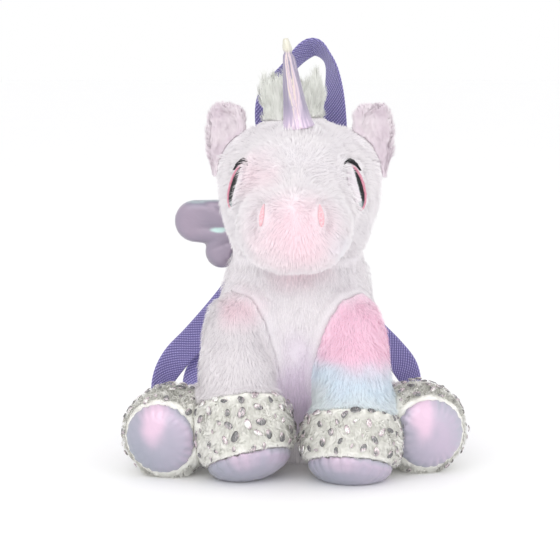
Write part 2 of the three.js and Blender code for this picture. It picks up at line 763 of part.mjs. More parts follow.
// Assembly: each piece is cut to fit the ones that it is sewn to or squashed against.
const headSeat = moveBy(HEAD.side, -HEAD.ahead, HEAD.lift).multiply(turnAboutZ(HEAD.turn));
const inPlace = (solid) => moved(solid, headSeat);
const bodyRoom = bodyForm(SEAM);
const headRoom = headForm(SEAM);
const headRoomInPlace = inPlace(headRoom);

addPiece("body", bodyShell(), FINISH.plush);
addPiece("head", largest(cutBy(inPlace(headForm(0)), bodyRoom)), FINISH.plush);

const hornRoom = hornSolid(SEAM);
const sewnOnHead = { ear: earSolid(), ...eyeSolids(), nostril: nostrilSolid() };
const headFinish = {
  ear: FINISH.earPlush,
  eye_iris: FINISH.iris,
  eye_rim: FINISH.rim,
  eye_lash: FINISH.iris,
  nostril: FINISH.nostril,
};
for (const [piece, right] of Object.entries(sewnOnHead)) {
  const left = right.mirror([1, 0, 0]);
  addPiece(`${piece}_left`, inPlace(largest(cutBy(left, headRoom))), headFinish[piece]);
  addPiece(`${piece}_right`, inPlace(largest(cutBy(right, headRoom))), headFinish[piece]);
}
addPiece("horn", inPlace(largest(cutBy(hornSolid(0), headRoom))), FINISH.shine);
addPiece("mane", inPlace(largest(cutBy(maneSolid(), headRoom, hornRoom))), FINISH.mane);

// Legs: the front pair first, and the hind pair gives way where the feet press together.
const rooms = [bodyRoom, headRoomInPlace];
for (const leg of LEGS) {
  const { plush, cuff, sole } = legSolids(leg);
  const fitted = (solid) => largest(restOnFloor(cutBy(solid, ...rooms)));
  addPiece(leg.name, fitted(plush), FINISH.plush);
  addPiece(leg.name.replace("leg", "cuff"), fitted(cuff), FINISH.cuff);
  addPiece(leg.name.replace("leg", "sole"), fitted(sole), FINISH.shine);
  rooms.push(...Object.values(legSolids(leg, SEAM)));
}

for (const row of WING_SIDES) {
  addPiece(row.name, largest(cutBy(wingSolid(row), bodyRoom, headRoomInPlace)), FINISH.shine);
  rooms.push(wingSolid(row, SEAM));
}
for (const row of STRAPS) {
  addPiece(row.name, largest(restOnFloor(cutBy(strapSolid(row), ...rooms))), FINISH.webbing);
}
addPiece("handle", inPlace(largest(cutBy(handleSolid(), headRoom))), FINISH.webbing);
addPiece("zip", zipStrip(), FINISH.zip);
addPiece("zip_slider", zipSlider(), FINISH.zip);

// The frame's origin is on the floor under the middle of the whole backpack.
const extent = new THREE.Box3().setFromObject(unicorn);
const middle = extent.getCenter(vector(0, 0, 0));
unicorn.position.set(-middle.x, -middle.y, 0);

export default unicorn;
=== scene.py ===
"""Looks of a plush horned-pony backpack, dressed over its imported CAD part.

Lengths are metres in the frame's own axes: the animal faces -Y and sits on Z = 0.
"""

import math

import bpy
import numpy as np
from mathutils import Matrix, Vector
from mathutils.bvhtree import BVHTree
from mathutils.kdtree import KDTree


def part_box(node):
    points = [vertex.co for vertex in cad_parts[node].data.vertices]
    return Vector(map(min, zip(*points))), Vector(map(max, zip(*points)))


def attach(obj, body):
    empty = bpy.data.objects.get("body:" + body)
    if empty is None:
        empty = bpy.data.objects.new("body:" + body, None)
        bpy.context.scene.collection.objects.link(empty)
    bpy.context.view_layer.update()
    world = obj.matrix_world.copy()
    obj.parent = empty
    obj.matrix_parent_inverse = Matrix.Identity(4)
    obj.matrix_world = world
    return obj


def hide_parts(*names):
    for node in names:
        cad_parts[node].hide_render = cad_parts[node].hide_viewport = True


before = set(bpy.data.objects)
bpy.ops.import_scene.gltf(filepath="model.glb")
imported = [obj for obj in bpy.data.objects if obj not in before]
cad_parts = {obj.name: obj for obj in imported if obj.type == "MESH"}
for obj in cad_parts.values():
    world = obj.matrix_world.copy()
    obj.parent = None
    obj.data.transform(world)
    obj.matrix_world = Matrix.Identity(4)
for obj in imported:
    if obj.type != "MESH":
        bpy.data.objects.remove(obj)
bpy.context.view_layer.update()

MM = 0.001
body_low, body_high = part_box("body")
body_middle = (body_low.x + body_high.x) / 2

# The photograph: a square picture, and the lens that took it
PICTURE = {"side": 560, "pixels_per_unit": 1764.7, "sensor": 36.0}
CAMERA = {"left": 14.5, "behind_chest": 63.05, "up": 152.0, "away": 1500.0, "tilt": 8.0}


def place_camera():
    aim = Vector((
        body_middle - CAMERA["left"] * MM,
        body_low.y + CAMERA["behind_chest"] * MM,
        CAMERA["up"] * MM,
    ))
    tilt = math.radians(CAMERA["tilt"])
    back = Vector((0, -math.cos(tilt), math.sin(tilt)))
    lens = bpy.data.cameras.new("camera")
    lens.sensor_width = PICTURE["sensor"]
    lens.lens = PICTURE["sensor"] * PICTURE["pixels_per_unit"] / PICTURE["side"]
    camera = bpy.data.objects.new("camera", lens)
    camera.location = aim + back * CAMERA["away"] * MM
    camera.rotation_euler = (-back).to_track_quat("-Z", "Y").to_euler()
    bpy.context.scene.collection.objects.link(camera)
    bpy.context.scene.camera = camera


# Studio
def area_light(name, place, aim, size, power):
    lamp = bpy.data.lights.new(name, "AREA")
    lamp.shape = "DISK"
    lamp.size = size
    lamp.energy = power
    light = bpy.data.objects.new(name, lamp)
    light.location = place
    light.rotation_euler = (Vector(aim) - Vector(place)).to_track_quat("-Z", "Y").to_euler()
    bpy.context.scene.collection.objects.link(light)


def light_studio():
    aim = (0, 0, 0.15)
    area_light("key", (-0.5, -1.7, 1.1), aim, 1.5, 9)
    area_light("fill", (1.2, -1.4, 0.8), aim, 1.6, 4)
    world = bpy.data.worlds.new("studio")
    world.use_nodes = True
    sky = world.node_tree.nodes["Background"]
    sky.inputs["Color"].default_value = (1, 1, 1, 1)
    sky.inputs["Strength"].default_value = 1.0
    bpy.context.scene.world = world
    bpy.context.scene.view_settings.view_transform = "Standard"


# Shader maths
def ink(red, green, blue):
    """A colour as seen on screen, 0 to 255, in the renderer's linear values."""
    screen = [c / 255 for c in (red, green, blue)]
    return (*[c / 12.92 if c <= 0.04045 else ((c + 0.055) / 1.055) ** 2.4 for c in screen], 1.0)


class Value:
    """A socket of a finish. Sums, differences, products and shares of values add Math nodes."""

    def __init__(self, finish, socket):
        self.finish = finish
        self.socket = socket

    def maths(self, operation, one, other):
        return self.finish.node("ShaderNodeMath", {"operation": operation}, {0: one, 1: other})

    def __add__(self, other):
        return self.maths("ADD", self, other)

    def __sub__(self, other):
        return self.maths("SUBTRACT", self, other)

    def __mul__(self, other):
        return self.maths("MULTIPLY", self, other)

    def __truediv__(self, other):
        return self.maths("DIVIDE", self, other)

    def __rsub__(self, other):
        return self.maths("SUBTRACT", other, self)

    def __rtruediv__(self, other):
        return self.maths("DIVIDE", other, self)

    __radd__ = __add__
    __rmul__ = __mul__

    def between(self, low, high):
        """0 below low, 1 above high, and a soft step in between."""
        settings = {"interpolation_type": "SMOOTHSTEP"}
        return self.finish.node("ShaderNodeMapRange", settings, {0: self, 1: low, 2: high})


class Finish:
    """A material in the making: a name, its nodes, and the shader that they feed."""

    def __init__(self, name):
        self.material = bpy.data.materials.new(name)
        self.material.use_nodes = True
        self.tree = self.material.node_tree
        self.shader = self.tree.nodes["Principled BSDF"]

    def node(self, kind, settings=None, sockets=None, out=0):
        made = self.tree.nodes.new(kind)
        for key, setting in (settings or {}).items():
            if key == "stops":
                self.set_stops(made.color_ramp.elements, setting)
            else:
                setattr(made, key, setting)
        for key, value in (sockets or {}).items():
            self.plug(made.inputs[key], value)
        return Value(self, made.outputs[out])

    @staticmethod
    def set_stops(elements, stops):
        while len(elements) < len(stops):
            elements.new(1.0)
        for element, (place, colour) in zip(elements, stops):
            element.position = place
            element.color = colour

    def plug(self, socket, value):
        if isinstance(value, Value):
            self.tree.links.new(value.socket, socket)
        else:
            socket.default_value = value

    def feed(self, **sockets):
        """Sets or links the shader's sockets, given with underscores for spaces."""
        for key, value in sockets.items():
            self.plug(self.shader.inputs[key.replace("_", " ")], value)
        return self

    def place(self):
        return self.node("ShaderNodeTexCoord", out="Object")

    def parts(self, vector):
        return [self.node("ShaderNodeSeparateXYZ", {}, {0: vector}, out=k) for k in range(3)]

    def mix(self, one, other, share):
        return self.node("ShaderNodeMix", {"data_type": "RGBA"}, {0: share, 6: one, 7: other}, out=2)

    def ramp(self, value, *stops):
        settings = {"stops": stops}
        return self.node("ShaderNodeValToRGB", settings, {0: value})

    def noise(self, vector, scale, detail=2.0, distortion=0.0):
        sockets = {"Vector": vector, "Scale": scale, "Detail": detail, "Distortion": distortion}
        return self.node("ShaderNodeTexNoise", {}, sockets)

    def stretched(self, vector, *scales):
        return self.node("ShaderNodeVectorMath", {"operation": "MULTIPLY"}, {0: vector, 1: scales})

    def swayed(self, vector, scale, by):
        """The place, pushed about by a soft noise, so that what is laid out by it has loose edges."""
        sway = self.node("ShaderNodeTexNoise", {}, {"Vector": vector, "Scale": scale}, out="Color")
        centred = self.node("ShaderNodeVectorMath", {"operation": "SUBTRACT"}, {0: sway, 1: (0.5, 0.5, 0.5)})
        settings = {"operation": "MULTIPLY_ADD"}
        return self.node("ShaderNodeVectorMath", settings, {0: centred, 1: (by, by, by), 2: vector})

    def spot(self, vector, centre, reach):
        """1 at a centre in millimetres, softly falling to 0 at its reach along each axis."""
        metres = [c * MM for c in centre]
        shrunk = [1 / (r * MM) for r in reach]
        offset = self.node("ShaderNodeVectorMath", {"operation": "SUBTRACT"}, {0: vector, 1: metres})
        scaled = self.stretched(offset, *shrunk)
        away = self.node("ShaderNodeVectorMath", {"operation": "LENGTH"}, {0: scaled}, out="Value")
        return away.between(1.0, 0.0)

    def bump(self, height, strength, distance):
        sockets = {"Height": height, "Strength": strength, "Distance": distance}
        return self.feed(Normal=self.node("ShaderNodeBump", {}, sockets))


# Meshes as arrays
def chance(name):
    return np.random.default_rng([ord(letter) for letter in name])


def arrays(obj):
    """Points and triangles of an object's mesh, points welded where they meet."""
    mesh = obj.data
    points = np.empty(len(mesh.vertices) * 3)
    mesh.vertices.foreach_get("co", points)
    mesh.calc_loop_triangles()
    corners = np.empty(len(mesh.loop_triangles) * 3, np.int32)
    mesh.loop_triangles.foreach_get("vertices", corners)
    grid = np.round(points.reshape(-1, 3) / 1e-7).astype(np.int64)
    _, first, where = np.unique(grid, axis=0, return_index=True, return_inverse=True)
    faces = where.reshape(-1)[corners.reshape(-1, 3)]
    whole = (faces[:, 0] != faces[:, 1]) & (faces[:, 1] != faces[:, 2]) & (faces[:, 2] != faces[:, 0])
    return points.reshape(-1, 3)[first], faces[whole]


def outer_shell(points, faces):
    """The shell that reaches furthest, for a hollow node."""
    label = np.arange(len(points))
    while True:
        least = label[faces].min(1)
        fresh = label.copy()
        for k in range(3):
            np.minimum.at(fresh, faces[:, k], least)
        if (fresh == label).all():
            break
        label = fresh
    spans = {key: np.ptp(points[label == key], axis=0).sum() for key in np.unique(label[faces])}
    kept = max(spans, key=spans.get)
    faces = faces[label[faces[:, 0]] == kept]
    used, where = np.unique(faces, return_inverse=True)
    return points[used], where.reshape(-1, 3)


def mesh_of(name, points, faces):
    """A mesh from arrays: faces is one array, or several whose rows have 3, 4 or more corners."""
    groups = [faces] if isinstance(faces, np.ndarray) else list(faces)
    corners = np.concatenate([g.ravel() for g in groups]).astype(np.int32)
    sizes = np.concatenate([np.full(len(g), g.shape[1]) for g in groups]).astype(np.int32)
    mesh = bpy.data.meshes.new(name)
    mesh.vertices.add(len(points))
    mesh.vertices.foreach_set("co", np.asarray(points, np.float32).ravel())
    mesh.loops.add(len(corners))
    mesh.loops.foreach_set("vertex_index", corners)
    mesh.polygons.add(len(sizes))
    mesh.polygons.foreach_set("loop_start", np.concatenate([[0], np.cumsum(sizes)[:-1]]).astype(np.int32))
    mesh.update(calc_edges=True)
    mesh.validate()
    mesh.shade_smooth()
    return mesh


def new_piece(name, points, faces, finish, slot, stands_for=()):
    """A piece of the backpack, riding on its one body."""
    piece = bpy.data.objects.new(name, mesh_of(name, points, faces))
    bpy.context.scene.collection.objects.link(piece)
    piece.data.materials.append(finish.material)
    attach(piece, "root")
    if stands_for:
        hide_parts(*stands_for)
    return piece


def tree_of(points, faces):
    return BVHTree.FromPolygons([tuple(p) for p in points], [tuple(f) for f in faces.tolist()])


def normals_of(points, faces):
    a, b, c = (points[faces[:, k]] for k in range(3))
    flat = np.cross(b - a, c - a)
    summed = np.zeros_like(points)
    for k in range(3):
        np.add.at(summed, faces[:, k], flat)
    return unit(summed)


def unit(vectors):
    return vectors / np.maximum(np.linalg.norm(vectors, axis=-1, keepdims=True), 1e-12)


def softened(points, faces, rounds):
    """Points smoothed over their neighbours, with a push back out so that the form keeps its size."""
    pairs = np.concatenate([faces[:, [0, 1]], faces[:, [1, 2]], faces[:, [2, 0]]])
    pairs = np.unique(np.sort(pairs, 1), axis=0)
    count = np.bincount(pairs.ravel(), minlength=len(points))[:, None]
    for turn in range(2 * rounds):
        total = np.zeros_like(points)
        np.add.at(total, pairs[:, 0], points[pairs[:, 1]])
        np.add.at(total, pairs[:, 1], points[pairs[:, 0]])
        share = 0.6 if turn % 2 == 0 else -0.54
        points = points + share * (total / np.maximum(count, 1) - points)
    return points


def remeshed(name, points, faces, voxel):
    """An even mesh over a closed form."""
    rough = bpy.data.objects.new(name, mesh_of(name, points, faces))
    bpy.context.scene.collection.objects.link(rough)
    evener = rough.modifiers.new("even", "REMESH")
    evener.mode = "VOXEL"
    evener.voxel_size = voxel
    graph = bpy.context.evaluated_depsgraph_get()
    even = bpy.data.meshes.new_from_object(rough.evaluated_get(graph))
    carrier = bpy.data.objects.new(name, even)
    found = arrays(carrier)
    bpy.data.objects.remove(carrier)
    bpy.data.objects.remove(rough)
    return found


# The CAD nodes as forms to dress: every one's shell, its tree, and its reach
class Form:
    def __init__(self, points, faces):
        self.points, self.faces = points, faces
        self.tree = tree_of(self.points, self.faces)
        self.low, self.high = self.points.min(0), self.points.max(0)

    def distance(self, points, limit):
        """Signed distance from each point to the form, negative inside, up to a limit."""
        found = np.full(len(points), limit)
        near = np.all((points > self.low - limit) & (points < self.high + limit), axis=1)
        for k in np.nonzero(near)[0]:
            place, normal, _, away = self.tree.find_nearest(points[k], limit)
            if place is not None:
                inside = (Vector(points[k]) - place).dot(normal) < 0
                found[k] = -away if inside else away
        return found


forms = {node: Form(*outer_shell(*arrays(carried))) for node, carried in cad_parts.items()}


def nearest_of(points, nodes, limit):
    """The least signed distance from each point to any of several nodes."""
    found = np.full(len(points), limit)
    for node in nodes:
        found = np.minimum(found, forms[node].distance(points, limit))
    return found


# Pieces that the pile keeps off, and pieces round which it is trimmed short
STITCHED = ("eye_iris", "eye_rim", "eye_lash", "nostril")
EMBROIDERED = [f"{part}_{side}" for part in STITCHED for side in ("left", "right")]
TRIMMED_ROUND = [*EMBROIDERED, "zip", "zip_slider"]
SATIN = [f"{leg}_sole_{side}" for leg in ("front", "hind") for side in ("left", "right")]
LOOSE = ["strap_left", "strap_right", "handle", "wing_left", "wing_right"]


# Plush skins
LUMPS = {"high": 0.0012, "apart": 0.034}
SEAM_REACH = 0.008


def skin_of(node, voxel, rounds, inset, lumps=0.0):
    """A node's surface made even and soft, set in under the pile except where the piece meets another."""
    form = forms[node]
    points, faces = remeshed(node, form.points, form.faces, voxel)
    points = softened(points, faces, rounds)
    met = [other for other in forms if other != node and other not in LOOSE]
    away = np.clip(nearest_of(points, met, SEAM_REACH), 0, SEAM_REACH)
    away = np.minimum(away, np.clip(points[:, 2], 0, SEAM_REACH))
    puffed = lumps * LUMPS["high"] * waves(points, LUMPS["apart"], 11)[:, 0] - inset
    return points + normals_of(points, faces) * (puffed * eased(away / SEAM_REACH))[:, None], faces


def eased(share):
    share = np.clip(share, 0, 1)
    return share * share * (3 - 2 * share)


def scatter(points, faces, count, random):
    """Evenly spread places on a skin: their points and normals."""
    a, b, c = (points[faces[:, k]] for k in range(3))
    area = np.linalg.norm(np.cross(b - a, c - a), axis=1)
    steps = (np.arange(count) + random.random(count)) / count
    chosen = np.searchsorted(np.cumsum(area) / area.sum(), steps).clip(0, len(faces) - 1)
    u, v = np.sqrt(random.random(count)), random.random(count)
    weights = np.stack([1 - u, u * (1 - v), u * v], 1)[:, :, None]
    normals = normals_of(points, faces)
    corners = faces[chosen]
    return (points[corners] * weights).sum(1), unit((normals[corners] * weights).sum(1))


def waves(points, scale, seed):
    """A smooth noise over space for each of three axes, as a few sums of sines."""
    random = np.random.default_rng(seed)
    total = np.zeros_like(points)
    for turn in range(6):
        finer = 1 + 0.35 * turn
        way = unit(random.normal(size=(3, 3)))
        total += np.sin(points @ way.T * (2 * math.pi / scale) * finer + random.random(3) * 7) / finer
    return total / 2.5


def locked(roots, tips, size, pull, random):
    """Tips drawn together in locks, each round one of the tips."""
    lead = random.permutation(len(roots))[: max(1, int(len(roots) / size))]
    locks = KDTree(len(lead))
    for place, k in enumerate(lead):
        locks.insert(roots[k], place)
    locks.balance()
    mine = np.array([lead[locks.find(root)[1]] for root in roots])
    share = (pull * random.random(len(roots)))[:, None]
    return tips + share * (tips[mine] - tips)


# Where the pile is brushed over an edge, where it is pressed in a crease, and where it is trimmed
BRUSHED = {"near": 0.009, "grown": 1.3, "lifted": 1.15}
CREASE = 0.008
TRIM = 0.010
ROOTED = 0.0008


def ahead_of(roots, nodes):
    """Which roots stand close in front of any of the nodes, on the side of the nose."""
    found = np.zeros(len(roots), bool)
    for node in nodes:
        form = forms[node]
        near = form.distance(roots, BRUSHED["near"]) < BRUSHED["near"]
        middle = (form.low[1] + form.high[1]) / 2
        tall = (roots[:, 2] > form.low[2] - 0.001) & (roots[:, 2] < form.high[2] + 0.001)
        found |= near & tall & (roots[:, 1] < middle - 0.2 * (form.high[1] - form.low[1]))
    return found


def pile(name, skin, style, finish, slot, comb, brushed_over=()):
    """The pile of a plush piece: thin bent blades, each rooted in the skin, in one mesh.

    It is trimmed short round embroidery, but brushed back over the front edge of some.
    """
    random = chance(name)
    own = name.removesuffix("_pile")
    trimmed = [node for node in TRIMMED_ROUND if node != own]
    # The horn's foot stands in uncropped pile
    soft = [node for node in forms if node not in (own, "horn", *trimmed, *LOOSE)]
    roots, normals = scatter(*skin, style["count"], random)
    apart = nearest_of(roots, trimmed, TRIM)
    beside = nearest_of(roots, soft, CREASE)
    kept = (beside > -0.0005) & (apart > 0.0006)
    roots, normals, apart = roots[kept], normals[kept], apart[kept]
    room = 0.35 + 0.65 * eased(beside[kept] / CREASE)
    nap = comb(roots) + style["stray"] * waves(roots, style["swirl"], 5)
    nap += style["stray"] * 0.6 * random.normal(size=roots.shape)
    nap = unit(nap - normals * (nap * normals).sum(1, keepdims=True))
    grown = 0.22 + 0.78 * eased(apart / TRIM)
    over = ahead_of(roots, brushed_over)
    grown = np.where(over, BRUSHED["grown"], grown)
    length = (style["length"] * grown * room * (0.75 + 0.5 * random.random(len(roots))))[:, None]
    rise = math.radians(style["rise"]) * (room * (0.7 + 0.6 * random.random(len(roots))))[:, None]
    rise = np.where(over[:, None], rise * BRUSHED["lifted"], rise)
    low_way = normals * np.sin(rise * 1.25) + nap * np.cos(rise * 1.25)
    high_way = normals * np.sin(rise * 0.55) + nap * np.cos(rise * 0.55)
    bends = roots + low_way * length * 0.5
    tips = bends + high_way * length * 0.5
    tips = locked(roots, tips, style["lock"], style["pull"], random)
    tips[:, 2] = np.maximum(tips[:, 2], 0.0004)
    bends[:, 2] = np.maximum(bends[:, 2], 0.0003)
    hard = [node for node in (*EMBROIDERED, *SATIN, *LOOSE, "zip", "zip_slider") if node != own]
    kept = nearest_of(tips, hard, 0.0012) > 0.0004
    kept &= nearest_of(bends, hard, 0.0012) > 0.0004
    kept |= over
    kept &= nearest_of(tips, soft, 0.0012) > -0.0025
    roots, bends, tips, normals = roots[kept], bends[kept], tips[kept], normals[kept]
    roots = roots - normals * ROOTED
    across = unit(np.cross(tips - roots, normals))
    across = unit(across + 0.35 * normals * random.normal(size=(len(roots), 1)))
    wide = across * style["width"] / 2
    points = np.stack([roots - wide, roots + wide, bends + wide * 0.85, bends - wide * 0.85, tips], 1)
    first = np.arange(len(roots))[:, None] * 5
    blades = [first + np.array([[0, 1, 2, 3]]), first + np.array([[3, 2, 4]])]
    piece = new_piece(name, points.reshape(-1, 3), blades, finish, slot)
    facing = unit(np.cross(wide, tips - roots))
    facing *= np.sign((facing * normals).sum(1, keepdims=True))
    shade = unit(normals + style["crisp"] * facing)
    piece.data.normals_split_custom_set_from_vertices(np.repeat(shade, 5, axis=0))
    return piece


def downwards(points):
    return np.tile([0.0, -0.15, -1.0], (len(points), 1))


def upwards(points):
    return -downwards(points)


# Finishes
PINK = ink(252, 226, 234)
ROSE = ink(254, 216, 234)
LILAC = ink(232, 216, 236)
SKY = ink(224, 238, 248)
# Where the plush is tinted, and where it is painted with shade: a centre and a reach in millimetres, a colour
# and its depth
PLUSH_TINTS = [
    ((-2, -108, 204), (60, 74, 50), PINK, 0.95),
    ((-34, -60, 250), (30, 50, 34), PINK, 0.5),
    ((45, -95, 185), (26, 50, 22), SKY, 0.35),
    ((-45, -55, 140), (28, 50, 26), PINK, 0.7),
    ((2, -40, 165), (40, 50, 26), PINK, 0.6),
    # Lilac low on the belly: the plush's dye and painted shade between the front legs; below it, a darker
    # painted shade deeper in that valley
    ((2, -45, 70), (30, 60, 60), LILAC, 0.9),
    ((6, -50, 45), (18, 60, 40), ink(206, 188, 216), 0.8),
    ((60, 10, 30), (60, 60, 40), ink(240, 214, 228), 0.3),
]
# Bands of dye up the leg: low and high in millimetres, a colour and its depth
TIE_DYE = [
    (86, 144, ROSE, 0.95),
    (62, 88, SKY, 0.9),
    (44, 64, ink(230, 241, 240), 0.8),
]
# Colours of satin by the way that it faces: the cloth's own hues with painted iridescent sheen, painted
# highlights and painted shade
PEARL_STOPS = (
    (0.0, ink(152, 156, 170)), (0.3, ink(168, 166, 182)), (0.5, ink(180, 172, 190)),
    (0.65, ink(192, 178, 198)), (0.8, ink(182, 178, 194)), (1.0, ink(168, 172, 184)),
)
# In the horn's stops the cream bands are painted highlights and the lilac ends painted shade at its sides
HORN_STOPS = (
    (0.0, ink(152, 144, 168)), (0.2, ink(172, 162, 184)), (0.34, ink(222, 210, 196)),
    (0.46, ink(218, 196, 202)), (0.56, ink(188, 174, 190)), (0.68, ink(218, 200, 208)),
    (0.85, ink(194, 180, 198)), (1.0, ink(156, 148, 170)),
)
# In the wing's stops the mint band is a painted glint where folds face that way
WING_STOPS = (
    (0.0, ink(146, 140, 150)), (0.3, ink(152, 142, 160)), (0.5, ink(162, 148, 166)),
    (0.62, ink(152, 146, 164)), (0.74, ink(168, 180, 186)), (0.86, ink(154, 146, 164)),
    (1.0, ink(146, 142, 152)),
)


def painted_glow(finish, colour, share):
    """Painted light: the surface glows faintly in its own colour, standing in for light that pale fibres pass
    on to one another.
    """
    return finish.feed(Base_Color=colour, Emission_Color=colour, Emission_Strength=share)


def plush_finish(name, tie_dyed=False, under=False):
    """Pale plush, tinted softly from place to place; under the pile its colour is painted a little darker, as
    painted shade to match the shadowed pile.
    """
    finish = Finish(name)
    place = finish.place()
    loose = finish.swayed(place, 28.0, 0.03)
    fine = finish.noise(place, 160.0, 3.0)
    cloud = finish.noise(place, 24.0, 2.0)
    colour = finish.mix(ink(234, 230, 233), ink(240, 236, 238), cloud.between(0.3, 0.7))
    for centre, reach, tint, depth in PLUSH_TINTS:
        colour = finish.mix(colour, tint, finish.spot(loose, centre, reach) * depth)
    if tie_dyed:
        x, _, z = finish.parts(loose)
        height = z + (x - 0.05) * 0.25
        for low, high, tint, depth in TIE_DYE:
            rising = height.between((low - 15) * MM, (low + 13) * MM)
            falling = height.between((high + 15) * MM, (high - 13) * MM)
            colour = finish.mix(colour, tint, rising * falling * depth)
    colour = finish.mix(colour, ink(226, 220, 228), fine.between(0.62, 0.3) * 0.12)
    # Painted shade: the cloth under the pile is darkened towards grey-lilac, as the pile shades it
    if under:
        colour = finish.mix(colour, ink(186, 180, 188), 0.22)
    # Painted light: the plush glows faintly in its own colour, and the darker cloth under the pile glows less
    painted_glow(finish, colour, 0.02 if under else 0.085)
    finish.feed(Roughness=0.95, Sheen_Weight=0.2, Sheen_Roughness=0.6, Specular_IOR_Level=0.12)
    return finish.bump(fine, 0.2, 0.0006)


def ear_finish():
    finish = Finish("ear plush")
    place = finish.place()
    cloud = finish.noise(place, 60.0, 3.0)
    colour = finish.mix(ink(232, 220, 228), ink(243, 234, 239), cloud.between(0.35, 0.65))
    # Painted light: the ear plush glows faintly in its own colour
    painted_glow(finish, colour, 0.07)
    finish.feed(Roughness=0.95, Sheen_Weight=0.2, Specular_IOR_Level=0.12)
    return finish.bump(cloud, 0.3, 0.0006)


def cuff_finish():
    finish = Finish("cuff plush")
    place = finish.place()
    cloud = finish.noise(place, 120.0, 3.0)
    colour = finish.mix(ink(238, 238, 231), ink(248, 247, 242), cloud.between(0.3, 0.6))
    # Painted light: the cuff plush glows faintly in its own colour
    painted_glow(finish, colour, 0.05)
    finish.feed(Roughness=0.9, Sheen_Weight=0.3, Specular_IOR_Level=0.2)
    return finish.bump(cloud, 0.3, 0.0006)


def mane_finish():
    finish = Finish("mane plush")
    place = finish.place()
    strands = finish.noise(finish.stretched(place, 300.0, 300.0, 30.0), 1.0, 3.0)
    colour = finish.mix(ink(208, 209, 204), ink(230, 231, 226), strands.between(0.3, 0.65))
    # Painted light: the mane glows faintly in its own colour
    painted_glow(finish, colour, 0.12)
    finish.feed(Roughness=0.9, Sheen_Weight=0.3, Specular_IOR_Level=0.2)
    return finish.bump(strands, 0.4, 0.0006)


def satin_finish(name, *stops, across=0.35, up=0.3, drift=0.55, start=0.22):
    """Iridescent satin: its colour turns with the way the cloth faces, as a painted iridescent sheen and
    painted shade over the cloth's own hues, and it shines like pearl.
    """
    finish = Finish(name)
    place = finish.place()
    facing = finish.node("ShaderNodeNewGeometry", out="Normal")
    x, _, z = finish.parts(facing)
    # Painted sheen and shade: the colour is chosen by the way the cloth faces in its own frame
    turn = x * across + z * up + finish.noise(place, 22.0, 2.0) * drift + start
    weave = finish.noise(place, 1500.0, 2.0)
    creases = finish.noise(place, 55.0, 3.0, 0.8)
    finish.colour = finish.ramp(turn, *stops)
    finish.feed(Base_Color=finish.colour)
    finish.feed(Roughness=weave * 0.12 + 0.3, Metallic=0.15, Coat_Weight=0.25, Coat_Roughness=0.2)
    finish.feed(Sheen_Weight=0.3, Sheen_Roughness=0.4)
    return finish.bump(creases + weave * 0.05, 0.35, 0.003)


TWILL = 3.0


def webbing_finish():
    """Twill webbing: pale and dark yarns crossing every few millimetres of its own run."""
    finish = Finish("woven webbing")
    woven = finish.node("ShaderNodeUVMap", {"uv_map": "weave"})
    across, along, _ = finish.parts(woven)
    turns = 2 * math.pi / TWILL
    ribs = finish.node("ShaderNodeMath", {"operation": "SINE"}, {0: (across + along) * turns})
    cords = finish.node("ShaderNodeMath", {"operation": "SINE"}, {0: (across - along) * turns})
    weave = (ribs * 0.5 + 0.5) * (cords * 0.3 + 0.7)
    soil = finish.noise(finish.place(), 30.0, 3.0)
    colour = finish.mix(ink(88, 81, 143), ink(186, 178, 232), weave * 0.9 + soil * 0.1)
    finish.feed(Base_Color=colour, Roughness=0.6, Sheen_Weight=0.35, Specular_IOR_Level=0.4)
    return finish.bump(weave, 0.7, 0.0005)


def zip_finish():
    finish = Finish("zip tape")
    place = finish.place()
    weave = finish.noise(finish.stretched(place, 900.0, 900.0, 500.0), 1.0, 2.0)
    wear = finish.noise(place, 40.0, 2.0)
    colour = finish.mix(ink(206, 196, 220), ink(232, 226, 240), weave * 0.6 + wear * 0.4)
    finish.feed(Base_Color=colour, Roughness=0.55, Sheen_Weight=0.2, Specular_IOR_Level=0.4)
    return finish.bump(weave, 0.4, 0.0003)


def metal_finish():
    finish = Finish("slider metal")
    place = finish.place()
    wear = finish.noise(place, 260.0, 3.0)
    colour = finish.mix(ink(176, 176, 180), ink(216, 216, 220), wear.between(0.3, 0.7))
    finish.feed(Base_Color=colour, Metallic=0.9, Roughness=wear * 0.25 + 0.22)
    return finish.bump(wear, 0.15, 0.0002)


def thread_finish(name, dark, light, shine=0.5):
    finish = Finish(name)
    place = finish.place()
    strands = finish.noise(place, 900.0, 2.0)
    colour = finish.mix(dark, light, strands.between(0.35, 0.65))
    finish.feed(Base_Color=colour, Roughness=0.6 - 0.36 * shine)
    finish.feed(Sheen_Weight=0.6 * shine, Specular_IOR_Level=shine)
    return finish.bump(strands, 0.4, 0.0003)


def foil_finish():
    """Silver foil: dark and bright by turns, rubbed into streaks by the pile under it; the foil's own greys
    and pinks, with near-white painted glints.
    """
    finish = Finish("silver foil")
    place = finish.place()
    turn = finish.noise(place, 130.0, 1.0)
    streaks = finish.noise(finish.stretched(place, 900.0, 900.0, 260.0), 1.0, 3.0)
    # Painted glints: the near-white end of this ramp stands for highlights on the foil
    tone_and_glint = turn * 0.75 + streaks * 0.4 - 0.1
    colour = finish.ramp(
        tone_and_glint, (0.0, ink(88, 89, 90)), (0.42, ink(128, 128, 129)), (0.48, ink(180, 174, 176)),
        (0.54, ink(212, 194, 200)), (0.6, ink(236, 236, 232)), (1.0, ink(250, 250, 248)),
    )
    finish.feed(Base_Color=colour, Metallic=0.7, Roughness=streaks * 0.3 + 0.14)
    return finish.bump(streaks, 0.6, 0.0008)


def share_back(finish, place, form):
    """0 at the nose side of a patch and 1 at its rear."""
    back = toward_back(outward(form))
    across = form.points @ back
    sockets = {0: place, 1: back}
    along = finish.node("ShaderNodeVectorMath", {"operation": "DOT_PRODUCT"}, sockets, out="Value")
    return (along - across.min()) / np.ptp(across)


